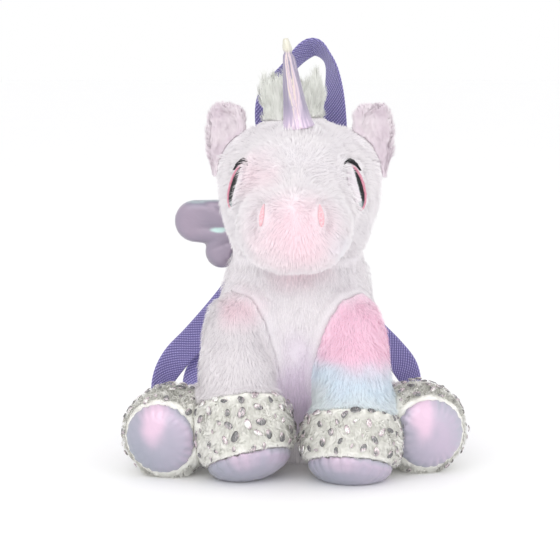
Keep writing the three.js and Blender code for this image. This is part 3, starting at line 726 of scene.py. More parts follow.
def eye_finish(side):
    """Black thread in the rear of the eye, grey before it, and white up to the nose side."""
    finish = Finish(f"eye thread {side}")
    iris = forms[f"eye_iris_{side}"]
    place = finish.place()
    strokes = finish.noise(finish.stretched(place, 500.0, 500.0, 1600.0), 1.0, 2.0)
    share = share_back(finish, place, iris) + strokes * 0.22 - 0.11
    dark = finish.mix(ink(22, 22, 24), ink(52, 55, 58), strokes.between(0.4, 0.7))
    edge = 0.4 if side == "left" else 0.56
    colour = finish.mix(ink(232, 224, 230), ink(140, 144, 148), share.between(edge - 0.06, edge))
    colour = finish.mix(colour, dark, share.between(edge - 0.01, edge + 0.06))
    z = finish.parts(place)[2]
    low = (z - iris.low[2]) / (iris.high[2] - iris.low[2])
    colour = finish.mix(colour, ink(126, 152, 152), low.between(0.2, 0.08) * 0.6)
    finish.feed(Base_Color=colour, Roughness=0.6, Specular_IOR_Level=0.15)
    return finish.bump(strokes, 0.3, 0.0002)


def rim_finish(side):
    """Pink thread round the rear of the eye that pales where it nears the nose."""
    finish = Finish(f"rim thread {side}")
    rim = forms[f"eye_rim_{side}"]
    place = finish.place()
    strands = finish.noise(place, 900.0, 2.0)
    share = share_back(finish, place, rim)
    pink = finish.mix(ink(205, 120, 145), ink(232, 160, 180), strands.between(0.35, 0.65))
    colour = finish.mix(ink(222, 212, 219), pink, share.between(0.35, 0.65))
    finish.feed(Base_Color=colour, Roughness=0.42, Sheen_Weight=0.3, Specular_IOR_Level=0.5)
    return finish.bump(strands, 0.4, 0.0003)


def horn_finish():
    finish = satin_finish("horn satin", *HORN_STOPS, across=0.75, up=0.0, drift=0.14, start=0.43)
    z = finish.parts(finish.place())[2]
    low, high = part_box("horn")[0].z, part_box("horn")[1].z
    tall = (z - low) / (high - low)
    colour = finish.mix(finish.colour, ink(236, 214, 240), tall.between(0.3, 0.0) * 0.55)
    colour = finish.mix(colour, ink(222, 220, 202), tall.between(0.82, 0.88) * 0.85)
    return finish.feed(Base_Color=colour)


def wing_finish(side):
    """Mauve satin with one mint glint where a fold catches the light."""
    finish = satin_finish(f"wing satin {side}", *WING_STOPS)
    low, high = (np.array(corner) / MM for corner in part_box(f"wing_{side}"))
    out = 0.52 if side == "left" else 0.48
    glint = low + (high - low) * (out, 0.5, 0.56)
    loose = finish.swayed(finish.place(), 60.0, 0.006)
    spot = finish.spot(loose, glint, (12, 40, 4.5))
    colour = finish.mix(finish.colour, ink(200, 232, 226), spot.between(0.1, 0.8) * 0.9)
    return finish.feed(Base_Color=colour)


def sole_finish(node, aside, depth):
    """Pearl satin with a painted pink highlight where the dome catches the light, and cool edges."""
    finish = satin_finish(f"{node} satin", *PEARL_STOPS)
    low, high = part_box(node)
    wide, tall = (high.x - low.x) / MM, (high.z - low.z) / MM
    # Painted highlight: a pink spot high on the dome, where the light falls on it
    painted_highlight_centre = (low.x / MM + wide * aside, low.y / MM, low.z / MM + tall * 0.78)
    loose = finish.swayed(finish.place(), 40.0, 0.012)
    spot = finish.spot(loose, painted_highlight_centre, (wide * 0.3, 60, tall * 0.55))
    colour = finish.mix(finish.colour, ink(234, 200, 222), spot.between(0.0, 0.9) * depth)
    return finish.feed(Base_Color=colour)


# Floor
def lay_floor():
    finish = Finish("studio floor")
    grain = finish.noise(finish.place(), 3.0)
    finish.feed(Base_Color=finish.mix(ink(254, 254, 255), ink(255, 255, 255), grain), Roughness=0.9)
    side = 12.0
    corners = np.array([[-side, -side, 0], [side, -side, 0], [side, side, 0], [-side, side, 0]], float)
    floor = bpy.data.objects.new("floor", mesh_of("floor", corners, np.array([[0, 1, 2, 3]])))
    floor.data.materials.append(finish.material)
    bpy.context.scene.collection.objects.link(floor)


# How each kind of plush piece is stuffed and furred. Its skin: the grain of its mesh, rounds of
# softening, depth under the pile's tips, and how full it is. Its pile: count of blades, their length
# and width in metres, rise above the skin in degrees, stray and the swirl it comes in, tips to a lock
# and how far they are pulled together, and how crisply blades catch the light
HEAD_PLUSH = {
    "voxel": 0.0035, "rounds": 5, "inset": 0.005, "fill": 0.7,
    "count": 48000, "length": 0.0075, "width": 0.00048, "rise": 28, "stray": 0.14, "swirl": 0.045,
    "lock": 5, "pull": 0.2, "crisp": 0.0,
}
BODY_PLUSH = dict(HEAD_PLUSH, voxel=0.004, rounds=8, count=51000)
LEG_PLUSH = dict(HEAD_PLUSH, rounds=8, count=20000)
HIND_PLUSH = dict(LEG_PLUSH, count=10000)
EAR_PLUSH = dict(
    HEAD_PLUSH, voxel=0.002, inset=0.002,
    count=8500, length=0.0072, rise=42, stray=0.4, swirl=0.02, lock=10, pull=0.4,
)
CUFF_PLUSH = dict(
    HEAD_PLUSH, voxel=0.003, rounds=6, inset=0.004,
    count=14500, length=0.0072, width=0.0006, rise=52, stray=0.55, swirl=0.014,
    lock=16, pull=0.75, crisp=0.04,
)
MANE_PLUSH = dict(
    HEAD_PLUSH, voxel=0.003, rounds=3, inset=0.003, fill=0.4,
    count=9500, length=0.012, rise=20, stray=0.22, lock=22, pull=0.5, crisp=0.03,
)


def dress_in_plush(node, style, finish, slot, comb, brushed_over=(), under=None):
    """A stuffed skin in place of the node, and the pile that grows from it."""
    skin = skin_of(node, style["voxel"], style["rounds"], style["inset"], lumps=1.0)
    base = new_piece(f"{node}_skin", *skin, under or finish, slot, [node])
    pile(f"{node}_pile", skin, style, finish, slot, comb, brushed_over)


def away_from_nose(points):
    """The nap of the head: back from the muzzle, and down its sides."""
    nose = np.array([0.0, -0.115, 0.215])
    way = unit(points - nose) * np.array([0.6, 1.0, 0.4]) + np.array([0.0, 0.0, -0.75])
    horn = forms["horn"]
    foot = np.array([*(horn.low + horn.high)[:2] / 2, horn.low[2] + 0.004])
    beside = eased(1 - (np.linalg.norm((points - foot)[:, :2], axis=1) - 0.010) / 0.012)
    return way + np.outer(beside, [0.0, 0.5, 4.0])


# Satin forms
def in_its_plane(points):
    """The middle of a flattish form, its two axes in the plane, and the one across it."""
    middle = (points.min(0) + points.max(0)) / 2
    _, _, axes = np.linalg.svd(points - points.mean(0), full_matrices=False)
    return middle, axes[0], axes[1], axes[2]


def gathered(points, faces, gathers, depth, start, random):
    """A domed sole drawn in at its seam: shallow gathers that run in from the rim."""
    middle, wide, high, _ = in_its_plane(points)
    offset = points - middle
    flat = np.stack([offset @ wide, offset @ high], 1)
    angle = np.arctan2(flat[:, 1], flat[:, 0])
    away = np.linalg.norm(flat, axis=1)
    bins = ((angle + math.pi) / (2 * math.pi) * 36).astype(int) % 36
    rim = np.array([away[bins == k].max() if (bins == k).any() else away.max() for k in range(36)])
    share = away / np.maximum(rim[bins], 1e-6)
    wobble = 0.6 * np.sin(2 * angle + 1.3) + 0.4 * np.sin(5 * angle + random.random() * 6)
    ridge = np.abs(np.sin(angle * gathers / 2 + wobble)) ** 0.7
    strength = 0.35 + 0.65 * np.clip(np.sin(3 * angle + random.random() * 6) * 0.5 + 0.6, 0, 1)
    dip = depth * (1 - ridge) * strength * eased((share - start) / (1 - start))
    return points - normals_of(points, faces) * dip[:, None]


SOLE = {"voxel": 0.0017, "rounds": 5, "gathers": 22, "deep": 0.0014, "start": 0.5}


def sew_sole(node, satin):
    points, faces = skin_of(node, SOLE["voxel"], SOLE["rounds"], 0.0)
    points = gathered(points, faces, SOLE["gathers"], SOLE["deep"], SOLE["start"], chance(node))
    sole = new_piece(f"{node}_satin", points, faces, satin, "shine", [node])


HORN = {
    "voxel": 0.001, "rounds": 3, "folds": 5, "deep": 0.0015, "twist": 1.2,
    "gathers": 17, "gathered": 0.0013, "flare": 0.0012, "tie": 0.84, "tied": 0.0011, "puckered": 0.0005,
}


def sew_horn(satin):
    """The horn's cloth cone: lengthwise folds, gathers at its foot, and a tie near its tip."""
    points, faces = skin_of("horn", HORN["voxel"], HORN["rounds"], 0.0)
    low, high = points[:, 2].min(), points[:, 2].max()
    share = (points[:, 2] - low) / (high - low)
    foot, tip = points[share < 0.1].mean(0), points[share > 0.95].mean(0)
    axis = unit(tip - foot)
    out = points - foot - np.outer((points - foot) @ axis, axis)
    angle = np.arctan2(out[:, 1], out[:, 0])
    fold = np.abs(np.sin(angle * HORN["folds"] / 2 + HORN["twist"] * share + 0.5)) ** 0.6
    depth = HORN["deep"] * (1 - fold) * eased(share / 0.25) * eased((1 - share) / 0.3)
    foot_gathers = np.abs(np.sin(angle * HORN["gathers"] / 2)) ** 0.6
    depth += HORN["gathered"] * (1 - foot_gathers) * eased(1 - share / 0.2)
    tie, puckers = (np.exp(-(((share - HORN["tie"]) / reach) ** 2)) for reach in (0.022, 0.06))
    depth += HORN["tied"] * tie + HORN["puckered"] * np.abs(np.sin(angle * 6)) * puckers
    flare = HORN["flare"] * eased(1 - share / 0.16)
    points = points + unit(out) * (flare - depth)[:, None]
    horn = new_piece("horn_satin", points, faces, satin, "shine", ["horn"])


WING = {"voxel": 0.0017, "rounds": 4, "root": 0.55, "rays": 7, "deep": 0.0016}


def sew_wing(node, satin):
    """A quilted wing: puffed between seams that fan out from its root."""
    points, faces = skin_of(node, WING["voxel"], WING["rounds"], 0.0)
    _, long, high, across = in_its_plane(points)
    form = forms[node]
    side = 1 if form.points[:, 0].mean() > body_middle else -1
    root = points[np.argmin(points[:, 0] * side)].copy()
    root[2] = form.low[2] + WING["root"] * (form.high[2] - form.low[2])
    offset = points - root
    flat = np.stack([offset @ long, offset @ high], 1)
    angle = np.arctan2(flat[:, 1], flat[:, 0])
    away = np.linalg.norm(flat, axis=1) / np.linalg.norm(flat, axis=1).max()
    rays = np.abs(np.sin(angle * WING["rays"] + 0.6 * np.sin(3 * away))) ** 0.5
    facing = np.abs((normals_of(points, faces) * across).sum(1))
    dip = WING["deep"] * (1 - rays) * eased(away / 0.15) * eased((0.85 - away) / 0.3) * facing
    points = points - normals_of(points, faces) * dip[:, None]
    wing = new_piece(f"{node}_satin", points, faces, satin, "shine", [node])


# Foil spots on the cuffs
FOIL = {
    "spots": 66, "tries": 1500, "spacing": 0.0078, "clear": 0.0035, "few_low_down": 0.12,
    "long": (0.0029, 0.0046), "slim": (0.5, 0.74), "round": 14, "rings": 3,
    "proud": 0.0021, "thick": 0.00025, "crumple": 0.00012, "edge_down": 0.0004,
}


def foil_spot(form, place, normal, random):
    """One crumpled oval of foil, laid over the tips of the pile."""
    long = random.uniform(*FOIL["long"]) * (1 if random.random() < 0.75 else 0.55)
    wide = long * random.uniform(*FOIL["slim"])
    first = unit(np.cross(normal, random.normal(size=3) + np.array([0.0, 0.0, 1.5])))
    second = np.cross(normal, first)
    angles = np.arange(FOIL["round"]) * 2 * math.pi / FOIL["round"]
    edge = 1 + 0.06 * np.sin(2 * angles + random.random() * 6)
    edge += 0.05 * np.sin(3 * angles + random.random() * 6)
    rings = [place[None, :]]
    for ring in range(1, FOIL["rings"] + 1):
        reach = edge * ring / FOIL["rings"]
        aside, ahead = reach * np.cos(angles) * wide, reach * np.sin(angles) * long
        rings.append(place + np.outer(aside, first) + np.outer(ahead, second))
    points = np.concatenate(rings)
    laid = np.array([form.tree.find_nearest(point)[0] for point in points])
    crumple = FOIL["crumple"] * random.normal(size=len(points))
    crumple[-FOIL["round"]:] -= FOIL["edge_down"]
    top = laid + normal * (FOIL["proud"] + crumple)[:, None]
    return np.concatenate([top, top - normal * FOIL["thick"]])


def foil_faces():
    """Triangles and quads of one spot: a top, a bottom and an edge."""
    count, rings = FOIL["round"], FOIL["rings"]
    size = 1 + count * rings
    threes, fours = [], []
    for k in range(count):
        n = (k + 1) % count
        threes += [[0, 1 + k, 1 + n], [size, size + 1 + n, size + 1 + k]]
        for ring in range(rings - 1):
            a, b = 1 + ring * count, 1 + (ring + 1) * count
            fours.append([a + k, b + k, b + n, a + n])
            fours.append([size + a + k, size + a + n, size + b + n, size + b + k])
        last = 1 + (rings - 1) * count
        fours.append([last + k, size + last + k, size + last + n, last + n])
    return np.array(threes), np.array(fours), 2 * size


def lay_foil(node, finish):
    """Spots of foil in loose clusters over a cuff, few of them near the floor."""
    random = chance(f"{node} foil")
    form = forms[node]
    places, normals = scatter(form.points, form.faces, FOIL["tries"], random)
    others = [other for other in forms if other != node]
    clear = (nearest_of(places, others, 0.004) > FOIL["clear"]) & (places[:, 2] > 0.004)
    height = (places[:, 2] - form.low[2]) / (form.high[2] - form.low[2])
    few = FOIL["few_low_down"]
    clear &= random.random(len(places)) < few + (1 - few) * eased((height - 0.12) / 0.45)
    clear &= waves(places, 0.05, 3)[:, 0] > -0.6
    chosen = []
    for k in random.permutation(np.nonzero(clear)[0]):
        if all(np.linalg.norm(places[k] - places[other]) > FOIL["spacing"] for other in chosen):
            chosen.append(k)
        if len(chosen) == FOIL["spots"]:
            break
    threes, fours, size = foil_faces()
    points = np.concatenate([foil_spot(form, places[k], normals[k], random) for k in chosen])
    starts = (np.arange(len(chosen)) * size)[:, None, None]
    faces = [(starts + threes).reshape(-1, 3), (starts + fours).reshape(-1, 4)]
    new_piece(f"{node}_foil", points, faces, finish, "cuff")


# Rings of points joined up
def wrapped(long, around):
    """Faces round a tube, given as rings of points, each ring closed."""
    index = np.arange(long * around).reshape(long, around)
    nearby = np.roll(index, -1, axis=1)
    return np.stack([index[:-1], index[1:], nearby[1:], nearby[:-1]], -1).reshape(-1, 4)


def wrapped_band(long, around):
    """Faces of a flat band with shut ends: each ring runs out over its top and back below."""
    half = around // 2
    ends = []
    for first in (0, (long - 1) * around):
        out = np.arange(first, first + around)
        back = out[::-1]
        ends.append(np.stack([out[:half - 1], out[1:half], back[1:half], back[:half - 1]], -1))
    return np.concatenate([wrapped(long, around), ends[0], ends[1][:, ::-1]])


def joined(parts):
    """Several closed meshes as one: points and faces."""
    starts = np.cumsum([0] + [len(points) for points, _ in parts])
    points = np.concatenate([points for points, _ in parts])
    return points, np.concatenate([faces + start for (_, faces), start in zip(parts, starts)])


# Embroidery
THREAD = {"pitch": 0.00055, "radius": 0.00042, "step": 0.0012, "tuck": 0.0009, "lift": 0.0002}


def laid_threads(form, lines, look):
    """Threads laid along lines over a patch: each a half-round cord, its ends tucked into the cloth."""
    points, faces = [], []
    for line in lines:
        hits = []
        for place in line:
            spot, normal, _, _ = form.tree.ray_cast(Vector(place + look * 0.03), Vector(-look), 0.06)
            if spot is None or normal.dot(Vector(look)) < 0.25:
                if len(hits) > 2:
                    break
                hits = []
                continue
            hits.append(np.array(spot))
        if len(hits) > 2:
            add_cord(points, faces, np.array(hits), look)
    return np.concatenate(points), np.concatenate(faces)


def add_cord(points, faces, path, look):
    path = path + look * THREAD["lift"]
    along = unit(np.gradient(path, axis=0))
    across = unit(np.cross(along, look))
    path[0] -= look * THREAD["tuck"] + along[0] * 0.0002
    path[-1] -= look * THREAD["tuck"] - along[-1] * 0.0002
    rounds = [math.radians(degrees) for degrees in (0, 55, 125, 180, 270)]
    ring = [across * math.cos(r) * THREAD["radius"] + look * math.sin(r) * THREAD["radius"] for r in rounds]
    start = sum(len(p) for p in points)
    points.append(np.stack([path + r for r in ring], 1).reshape(-1, 3))
    count = len(rounds)
    rows = (np.arange(len(path) - 1) * count)[:, None, None]
    quads = np.array([[k, (k + 1) % count, count + (k + 1) % count, count + k] for k in range(count)])
    faces.append((start + rows + quads).reshape(-1, 4))


def row_lines(form, look, way, pitch, step=THREAD["step"]):
    """Parallel lines over a patch, each running along one way."""
    across = unit(np.cross(look, way))
    offset = form.points - form.points.mean(0)
    wide, high = offset @ way, offset @ across
    runs = np.arange(wide.min(), wide.max() + step, step)
    rows = np.arange(high.min(), high.max() + pitch, pitch)
    return [form.points.mean(0) + np.outer(runs, way) + across * row for row in rows]


def ray_lines(look, centre, reach, pitch):
    """Lines that run out from a centre, for a tall ring or an arc round it."""
    tall = 1.5
    up = unit(np.array([0.0, 0.0, 1.0]) - look * look[2])
    aside = np.cross(up, look)
    count = int(2 * math.pi * reach * 0.8 / pitch)
    runs = np.linspace(0.25, 1.25, 40)
    lines = []
    for k in range(count):
        angle = 2 * math.pi * k / count
        way = aside * math.cos(angle) + up * math.sin(angle) * tall
        lines.append(centre + np.outer(runs * reach / tall, way))
    return lines


def outward(form):
    """The way that a patch on the head looks: across its flat, away from the head's middle."""
    look = in_its_plane(form.points)[3]
    middle = (forms["head"].low + forms["head"].high) / 2
    return look if look @ (form.points.mean(0) - middle) > 0 else -look


def toward_back(look):
    """The level way along a patch that leads away from the nose."""
    level = unit(np.cross(look, [0.0, 0.0, 1.0]))
    return level if level[1] > 0 else -level


def slimmed(form, way, share):
    """The same patch, made narrower along one way."""
    offset = (form.points - (form.low + form.high) / 2) @ way
    return Form(form.points + np.outer(offset * (share - 1), way), form.faces)


def tapered(lash, look, centre, wide, tall):
    """The lash drawn out to fine ends: its arc kept, its thickness eased away."""
    back, up = toward_back(look), unit(np.array([0.0, 0.0, 1.0]) - look * look[2])
    offset = lash.points - centre
    u, v = offset @ back / wide, offset @ up / tall
    angle, away = np.arctan2(v, u), np.hypot(u, v)
    low, high = np.quantile(angle, [0.02, 0.98])
    share = np.clip((angle - low) / (high - low), 0, 1)
    slim = 0.08 + 0.87 * np.sin(math.pi * np.clip(share / 0.68, 0, 1)) ** 0.8
    middle = np.median(away)
    moved = middle + (away - middle) * slim
    shift = np.outer((np.cos(angle) * moved - u) * wide, back)
    shift += np.outer((np.sin(angle) * moved - v) * tall, up)
    sunk = 0.0026 * eased(1 - slim / 0.5) * (share > 0.3)
    return Form(lash.points + shift - np.outer(sunk, look), lash.faces)


def embroider(node, patch, lines, look, finish, slot):
    """A patch of satin stitch: its cloth, and the threads over it."""
    threads, cords = laid_threads(patch, lines, look)
    points = np.concatenate([patch.points - look * 0.0002, threads])
    faces = [patch.faces, cords + len(patch.points)]
    new_piece(f"{node}_stitches", points, faces, finish, slot, [node])


def embroider_eye(side, black):
    rim, iris = forms[f"eye_rim_{side}"], forms[f"eye_iris_{side}"]
    look = outward(rim)
    centre, back = (rim.low + rim.high) / 2, toward_back(look)
    tall, wide = np.ptp(rim.points[:, 2]) / 2, np.ptp(rim.points @ back) / 2
    lines = row_lines(iris, look, back, THREAD["pitch"])
    embroider(f"eye_iris_{side}", iris, lines, look, eye_finish(side), "embroidery_dark")
    lines = ray_lines(look, centre, tall * 1.1, THREAD["pitch"])
    embroider(f"eye_rim_{side}", rim, lines, look, rim_finish(side), "embroidery_pink")
    lash = tapered(forms[f"eye_lash_{side}"], look, centre, wide, tall)
    lines = ray_lines(look, centre, tall * 1.7, THREAD["pitch"])
    embroider(f"eye_lash_{side}", lash, lines, look, black, "embroidery_dark")


def embroider_nostril(side, pink):
    look = outward(forms[f"nostril_{side}"])
    patch = slimmed(forms[f"nostril_{side}"], toward_back(look), 0.42 if side == "left" else 0.62)
    lines = row_lines(patch, look, toward_back(look), THREAD["pitch"], 0.0005)
    embroider(f"nostril_{side}", patch, lines, look, pink, "embroidery_pink")


# Webbing. A strap's route is in shares of the body's half width, its depth and its height, each
# point with the way that the webbing's face looks; a point with no depth lies on the body's back
WEBBING = {"wide": 25 * MM, "thick": 1.8 * MM, "ease": 1.4 * MM, "yarn": 1.5 * MM, "rib": 0.13 * MM}
STRAP_ROUTES = {
    "strap_left": [
        (0.2, 0.87), (0.36, 0.81), (0.6, 0.5, 0.72, 0.2, -1, 0.5), (0.8, 0.51, 0.62, 0.3, -1, 0.4),
        (1.0, 0.49, 0.53, 0.3, -1, 0.3), (1.21, 0.43, 0.445, 0.3, -1, 0.3),
        (1.41, 0.38, 0.37, 0.4, -1, 0.2),
        (1.55, 0.342, 0.28, 0.75, -0.8, 0.1), (1.59, 0.32, 0.18, 1, -0.45, 0.2),
        (1.46, 0.33, 0.085, 0.1, -0.15, 1), (1.28, 0.38, 0.17, -0.8, -0.5, 0.4),
        (1.15, 0.45, 0.29, -0.3, -1, 0.1), (0.96, 0.515, 0.365, 0.4, -1, 0), (0.72, 0.375),
        (0.5, 0.32), (0.32, 0.24),
    ],
    "strap_right": [
        (0.2, 0.87), (0.34, 0.8), (0.52, 0.5, 0.69, 0.1, -1, 0.4), (0.72, 0.53, 0.57, 0.2, -1, 0.3),
        (0.9, 0.51, 0.475, 0.3, -1, 0.3), (1.1, 0.466, 0.4, 0.4, -1, 0.3), (1.28, 0.41, 0.32, 0.6, -0.9, 0.2),
        (1.37, 0.37, 0.21, 1, -0.45, 0.2), (1.25, 0.385, 0.095, 0.15, -0.3, 1),
        (1.07, 0.44, 0.125, -0.3, -0.7, 0.8), (0.9, 0.53, 0.2, 0, -1, 0.1), (0.66, 0.24),
        (0.46, 0.21), (0.3, 0.17),
    ],
}
SHARES = np.array([76, 146, 200]) * MM
CHEST = np.array([body_middle, body_low.y + CAMERA["behind_chest"] * MM, 0.0])


def resting(form, start, way):
    """Where webbing lies flat on a form, met from a start along a way, and how its face looks."""
    spot, normal, _, _ = form.tree.ray_cast(Vector(start), Vector(way))
    face = -np.array(normal)
    return np.array(spot) - face * (WEBBING["thick"] / 2 + WEBBING["ease"]), face


def strap_route(name, side):
    rows = []
    for out, *rest in STRAP_ROUTES[name]:
        if len(rest) == 1:
            start = CHEST + SHARES * (side * out, 0, rest[0]) + (0, 0.3, 0)
            rows.append(resting(forms["body"], start, (0, -1, 0)))
        else:
            behind, up, x, y, z = rest
            face = unit(np.array([-side * x, y, z], float))
            rows.append((CHEST + SHARES * (side * out, behind, up), face))
    return rows


HEAD_SEAT = {
    "middle": np.array([-1, -50, 221]) * MM, "turn": math.radians(-3.5),
    "back": 102.3, "high": 124, "foot": 27, "loop_high": 127, "lean": math.radians(38),
}


def from_head(place):
    """A place in the head's own frame, in millimetres, as a place in the scene."""
    x, y, z = np.array(place, float) * MM
    turned = (x * math.cos(HEAD_SEAT["turn"]) - y * math.sin(HEAD_SEAT["turn"]),
              x * math.sin(HEAD_SEAT["turn"]) + y * math.cos(HEAD_SEAT["turn"]), z)
    return CHEST + HEAD_SEAT["middle"] + np.array(turned)


def handle_route():
    """The carrying loop: both feet flat on the back of the head, and a twisted arch between them."""
    seat, middle = HEAD_SEAT, from_head((0, 0, 0))

    def rest_on_head(side, up):
        way = unit(from_head((side * seat["foot"], seat["back"], seat["high"] * up)) - middle)
        return resting(forms["head"], middle + way * 0.3, -way)

    behind = abs(rest_on_head(1, 0.3)[0][1] - middle[1]) / MM - 1.0
    lean = seat["lean"]
    loops = [
        ((-0.95, 0, 0.62), (0.4, -0.9, 0.1)), ((-0.42, 2, 0.84), (0.8, -0.5, -0.5)),
        ((12 / 27, 3, 1), (0, -math.sin(lean), -math.cos(lean))),
        ((0.92, 2, 0.92), (-0.8, -0.4, -0.6)), ((1.12, 0, 0.7), (-0.8, -0.7, 0)),
    ]
    rows = [rest_on_head(-1, 0.12), rest_on_head(-1, 0.32)]
    for (out, back, up), face in loops:
        face = unit(from_head(np.array(face) * 1000) - middle)
        place = from_head((-3 + seat["foot"] * out, behind + back, seat["loop_high"] * up))
        rows.append((place, face))
    return [*rows, rest_on_head(1, 0.32), rest_on_head(1, 0.12)]


def curve_through(points, share):
    """A place on the smooth curve through points, at a share of their count."""
    turn = share * (len(points) - 1)
    k = min(int(turn), len(points) - 2)
    one, other = points[k], points[k + 1]
    before = points[k - 1] if k else 2 * one - other
    after = points[k + 2] if k + 2 < len(points) else 2 * other - one
    spans = ((before, one), (one, other), (other, after))
    a, b, c = (max(np.linalg.norm(q - p), 1e-9) ** 0.5 for p, q in spans)
    first = ((one - before) / a - (other - before) / (a + b) + (other - one) / b) * b
    last = ((other - one) / b - (after - one) / (b + c) + (after - other) / c) * b
    t = turn - k
    return (one + first * t + (3 * (other - one) - 2 * first - last) * t * t
            + (2 * (one - other) + first + last) * t ** 3)


class Band:
    """The sheet of a webbing band: its places by millimetres along and shares across."""

    def __init__(self, rows):
        places, faces = [row[0] for row in rows], [row[1] for row in rows]
        shares = np.linspace(0, 1, 1200)
        self.middle = np.array([curve_through(places, share) for share in shares])
        steps = np.linalg.norm(np.diff(self.middle, axis=0), axis=1)
        self.run = np.concatenate([[0.0], np.cumsum(steps)])
        along = unit(np.gradient(self.middle, axis=0))
        look = np.array([curve_through(faces, share) for share in shares])
        self.look = unit(look - along * (look * along).sum(1, keepdims=True))
        self.across = np.cross(self.look, along)
        self.length = self.run[-1]

    def at(self, run, out, up):
        """Places at runs along, out across and up off the sheet, on the side away from the body."""
        middle, across, look = (
            np.stack([np.interp(run, self.run, table[:, k]) for k in range(3)], -1)
            for table in (self.middle, self.across, self.look)
        )
        out, up = np.asarray(out)[..., None], np.asarray(up)[..., None]
        return middle + unit(across) * out - unit(look) * up


def weave_band(name, band, webbing):
    """The woven band: twill ribs over both faces and thicker woven edges."""
    yarn = WEBBING["yarn"]
    runs = np.linspace(0, band.length, int(band.length / yarn) + 1)
    outs = np.linspace(-1, 1, 17)
    turns = np.arange(len(runs))[:, None] + np.arange(len(outs))[None, :]
    edge = np.abs(outs)[None, :]
    half = WEBBING["thick"] / 2 * (0.9 + 0.1 * (edge > 0.8)) * np.where(edge > 0.99, 0.35, 1.0)
    rib = WEBBING["rib"] * (np.abs(turns % 4 - 2) - 1) * (edge < 0.8)
    run = np.broadcast_to(runs[:, None], turns.shape)
    out = np.broadcast_to(outs[None, :] * WEBBING["wide"] / 2, turns.shape)
    top, bottom = band.at(run, out, half + rib), band.at(run, out, -half - rib)
    ring = np.concatenate([top, bottom[:, ::-1]], 1)
    flat = np.concatenate([out, out[:, ::-1]], 1)
    faces = wrapped_band(*ring.shape[:2])
    piece = new_piece(f"{name}_webbing", ring.reshape(-1, 3), faces, webbing, "webbing", [name])
    woven = piece.data.uv_layers.new(name="weave")
    corners = np.empty(len(piece.data.loops), np.int32)
    piece.data.loops.foreach_get("vertex_index", corners)
    laid = np.stack([flat.ravel(), np.repeat(runs, ring.shape[1])], -1)[corners] / MM
    woven.data.foreach_set("uv", laid.ravel())


def cord(places, up, radius):
    """A short thread through places, its ends dipped under what it is sewn to."""
    along = unit(np.gradient(places, axis=0))
    across = np.cross(along, up)
    dip = np.zeros(len(places))
    dip[[0, -1]] = 1.6 * radius
    rounds = np.arange(6) * math.pi / 3
    rings = (places - up * dip[:, None])[:, None] + radius * (
        np.cos(rounds)[None, :, None] * across[:, None] + np.sin(rounds)[None, :, None] * up[:, None])
    caps = np.array([[0, 1, 2, 3], [0, 3, 4, 5]])
    last = (caps + 6 * (len(places) - 1))[:, ::-1]
    return rings.reshape(-1, 3), np.concatenate([wrapped(len(places), 6), caps, last])


SEWN = {"long": 2.6 * MM, "gap": 0.8 * MM, "radius": 0.34 * MM, "box": 17 * MM, "from_end": 4 * MM}


def box_and_cross(band, start):
    """The stitching that holds a band's end: a box with a cross in it, as runs and outs."""
    near, far, side = start, start + SEWN["box"], SEWN["box"] / 2
    corners = [(near, -side), (near, side), (far, side), (far, -side)]
    lines = [(corners[k], corners[(k + 1) % 4]) for k in range(4)]
    lines += [(corners[0], corners[2]), (corners[1], corners[3])]
    threads = []
    for one, other in lines:
        one, other = np.array(one), np.array(other)
        count = max(int(np.linalg.norm(other - one) / (SEWN["long"] + SEWN["gap"])), 1)
        for k in range(count):
            first, last = (k + 0.12) / count, (k + 0.88) / count
            laid = one + np.linspace(first, last, 4)[:, None] * (other - one)
            places = band.at(laid[:, 0], laid[:, 1], WEBBING["thick"] / 2 + 0.05 * MM)
            up = unit(band.at(laid[:, 0], laid[:, 1], 0.002) - band.at(laid[:, 0], laid[:, 1], 0.0))
            threads.append(cord(places, up, SEWN["radius"]))
    return threads


def sew_bands(webbing, thread):
    bands = {name: Band(strap_route(name, side)) for name, side in (("strap_left", -1), ("strap_right", 1))}
    bands["handle"] = Band(handle_route())
    for name, band in bands.items():
        weave_band(name, band, webbing)
        ends = box_and_cross(band, SEWN["from_end"])
        ends += box_and_cross(band, band.length - SEWN["from_end"] - SEWN["box"])
        new_piece(f"{name}_stitching", *joined(ends), thread, "webbing")


# Zip
ZIP = {
    "low": 42 * MM, "high": 160 * MM, "half": 7 * MM, "over": 5 * MM, "coil": 2.4 * MM, "tooth": 1.5 * MM,
    "seam": 0.72, "stitch": 2.4 * MM, "stitches_apart": 3.2 * MM, "thread": 0.25 * MM,
}


def on_zip(heights, out):
    """Places on the zip's tape at heights, out from its middle, and the way off it.

    Above its top the tape runs on as straight as it ends.
    """
    middle = (forms["zip"].low[0] + forms["zip"].high[0]) / 2
    places, ways = [], []
    for z in heights:
        held = min(z, ZIP["high"] - 0.5 * MM)
        start = Vector((middle + math.copysign(0.8 * ZIP["half"], out or 1.0), 0.3, held))
        spot, normal, _, _ = forms["zip"].tree.ray_cast(start, Vector((0, -1, 0)))
        normal = unit(np.array([0.0, normal.y, normal.z]))
        places.append((middle + out, spot.y - (z - held) * normal[2] / normal[1], z))
        ways.append(normal)
    return np.array(places), np.array(ways)


def lay_tape(side):
    """One half of the zip's tape: a band with a thicker edge where the coil is sewn."""
    heights = np.linspace(ZIP["low"] + 0.3 * MM, ZIP["high"] + ZIP["over"], 92)
    sheets = []
    for share, thick in ((0.07, 0.55), (0.3, 0.7), (0.45, 0.3), (1.3, 0.15), (1.45, -1.0)):
        places, ways = on_zip(heights, side * ZIP["half"] * share)
        sheets.append((places + ways * thick * MM, places - ways * 2.2 * MM))
    ring = np.stack([top for top, _ in sheets] + [bottom for _, bottom in sheets[::-1]], 1)
    return ring.reshape(-1, 3), wrapped_band(*ring.shape[:2])


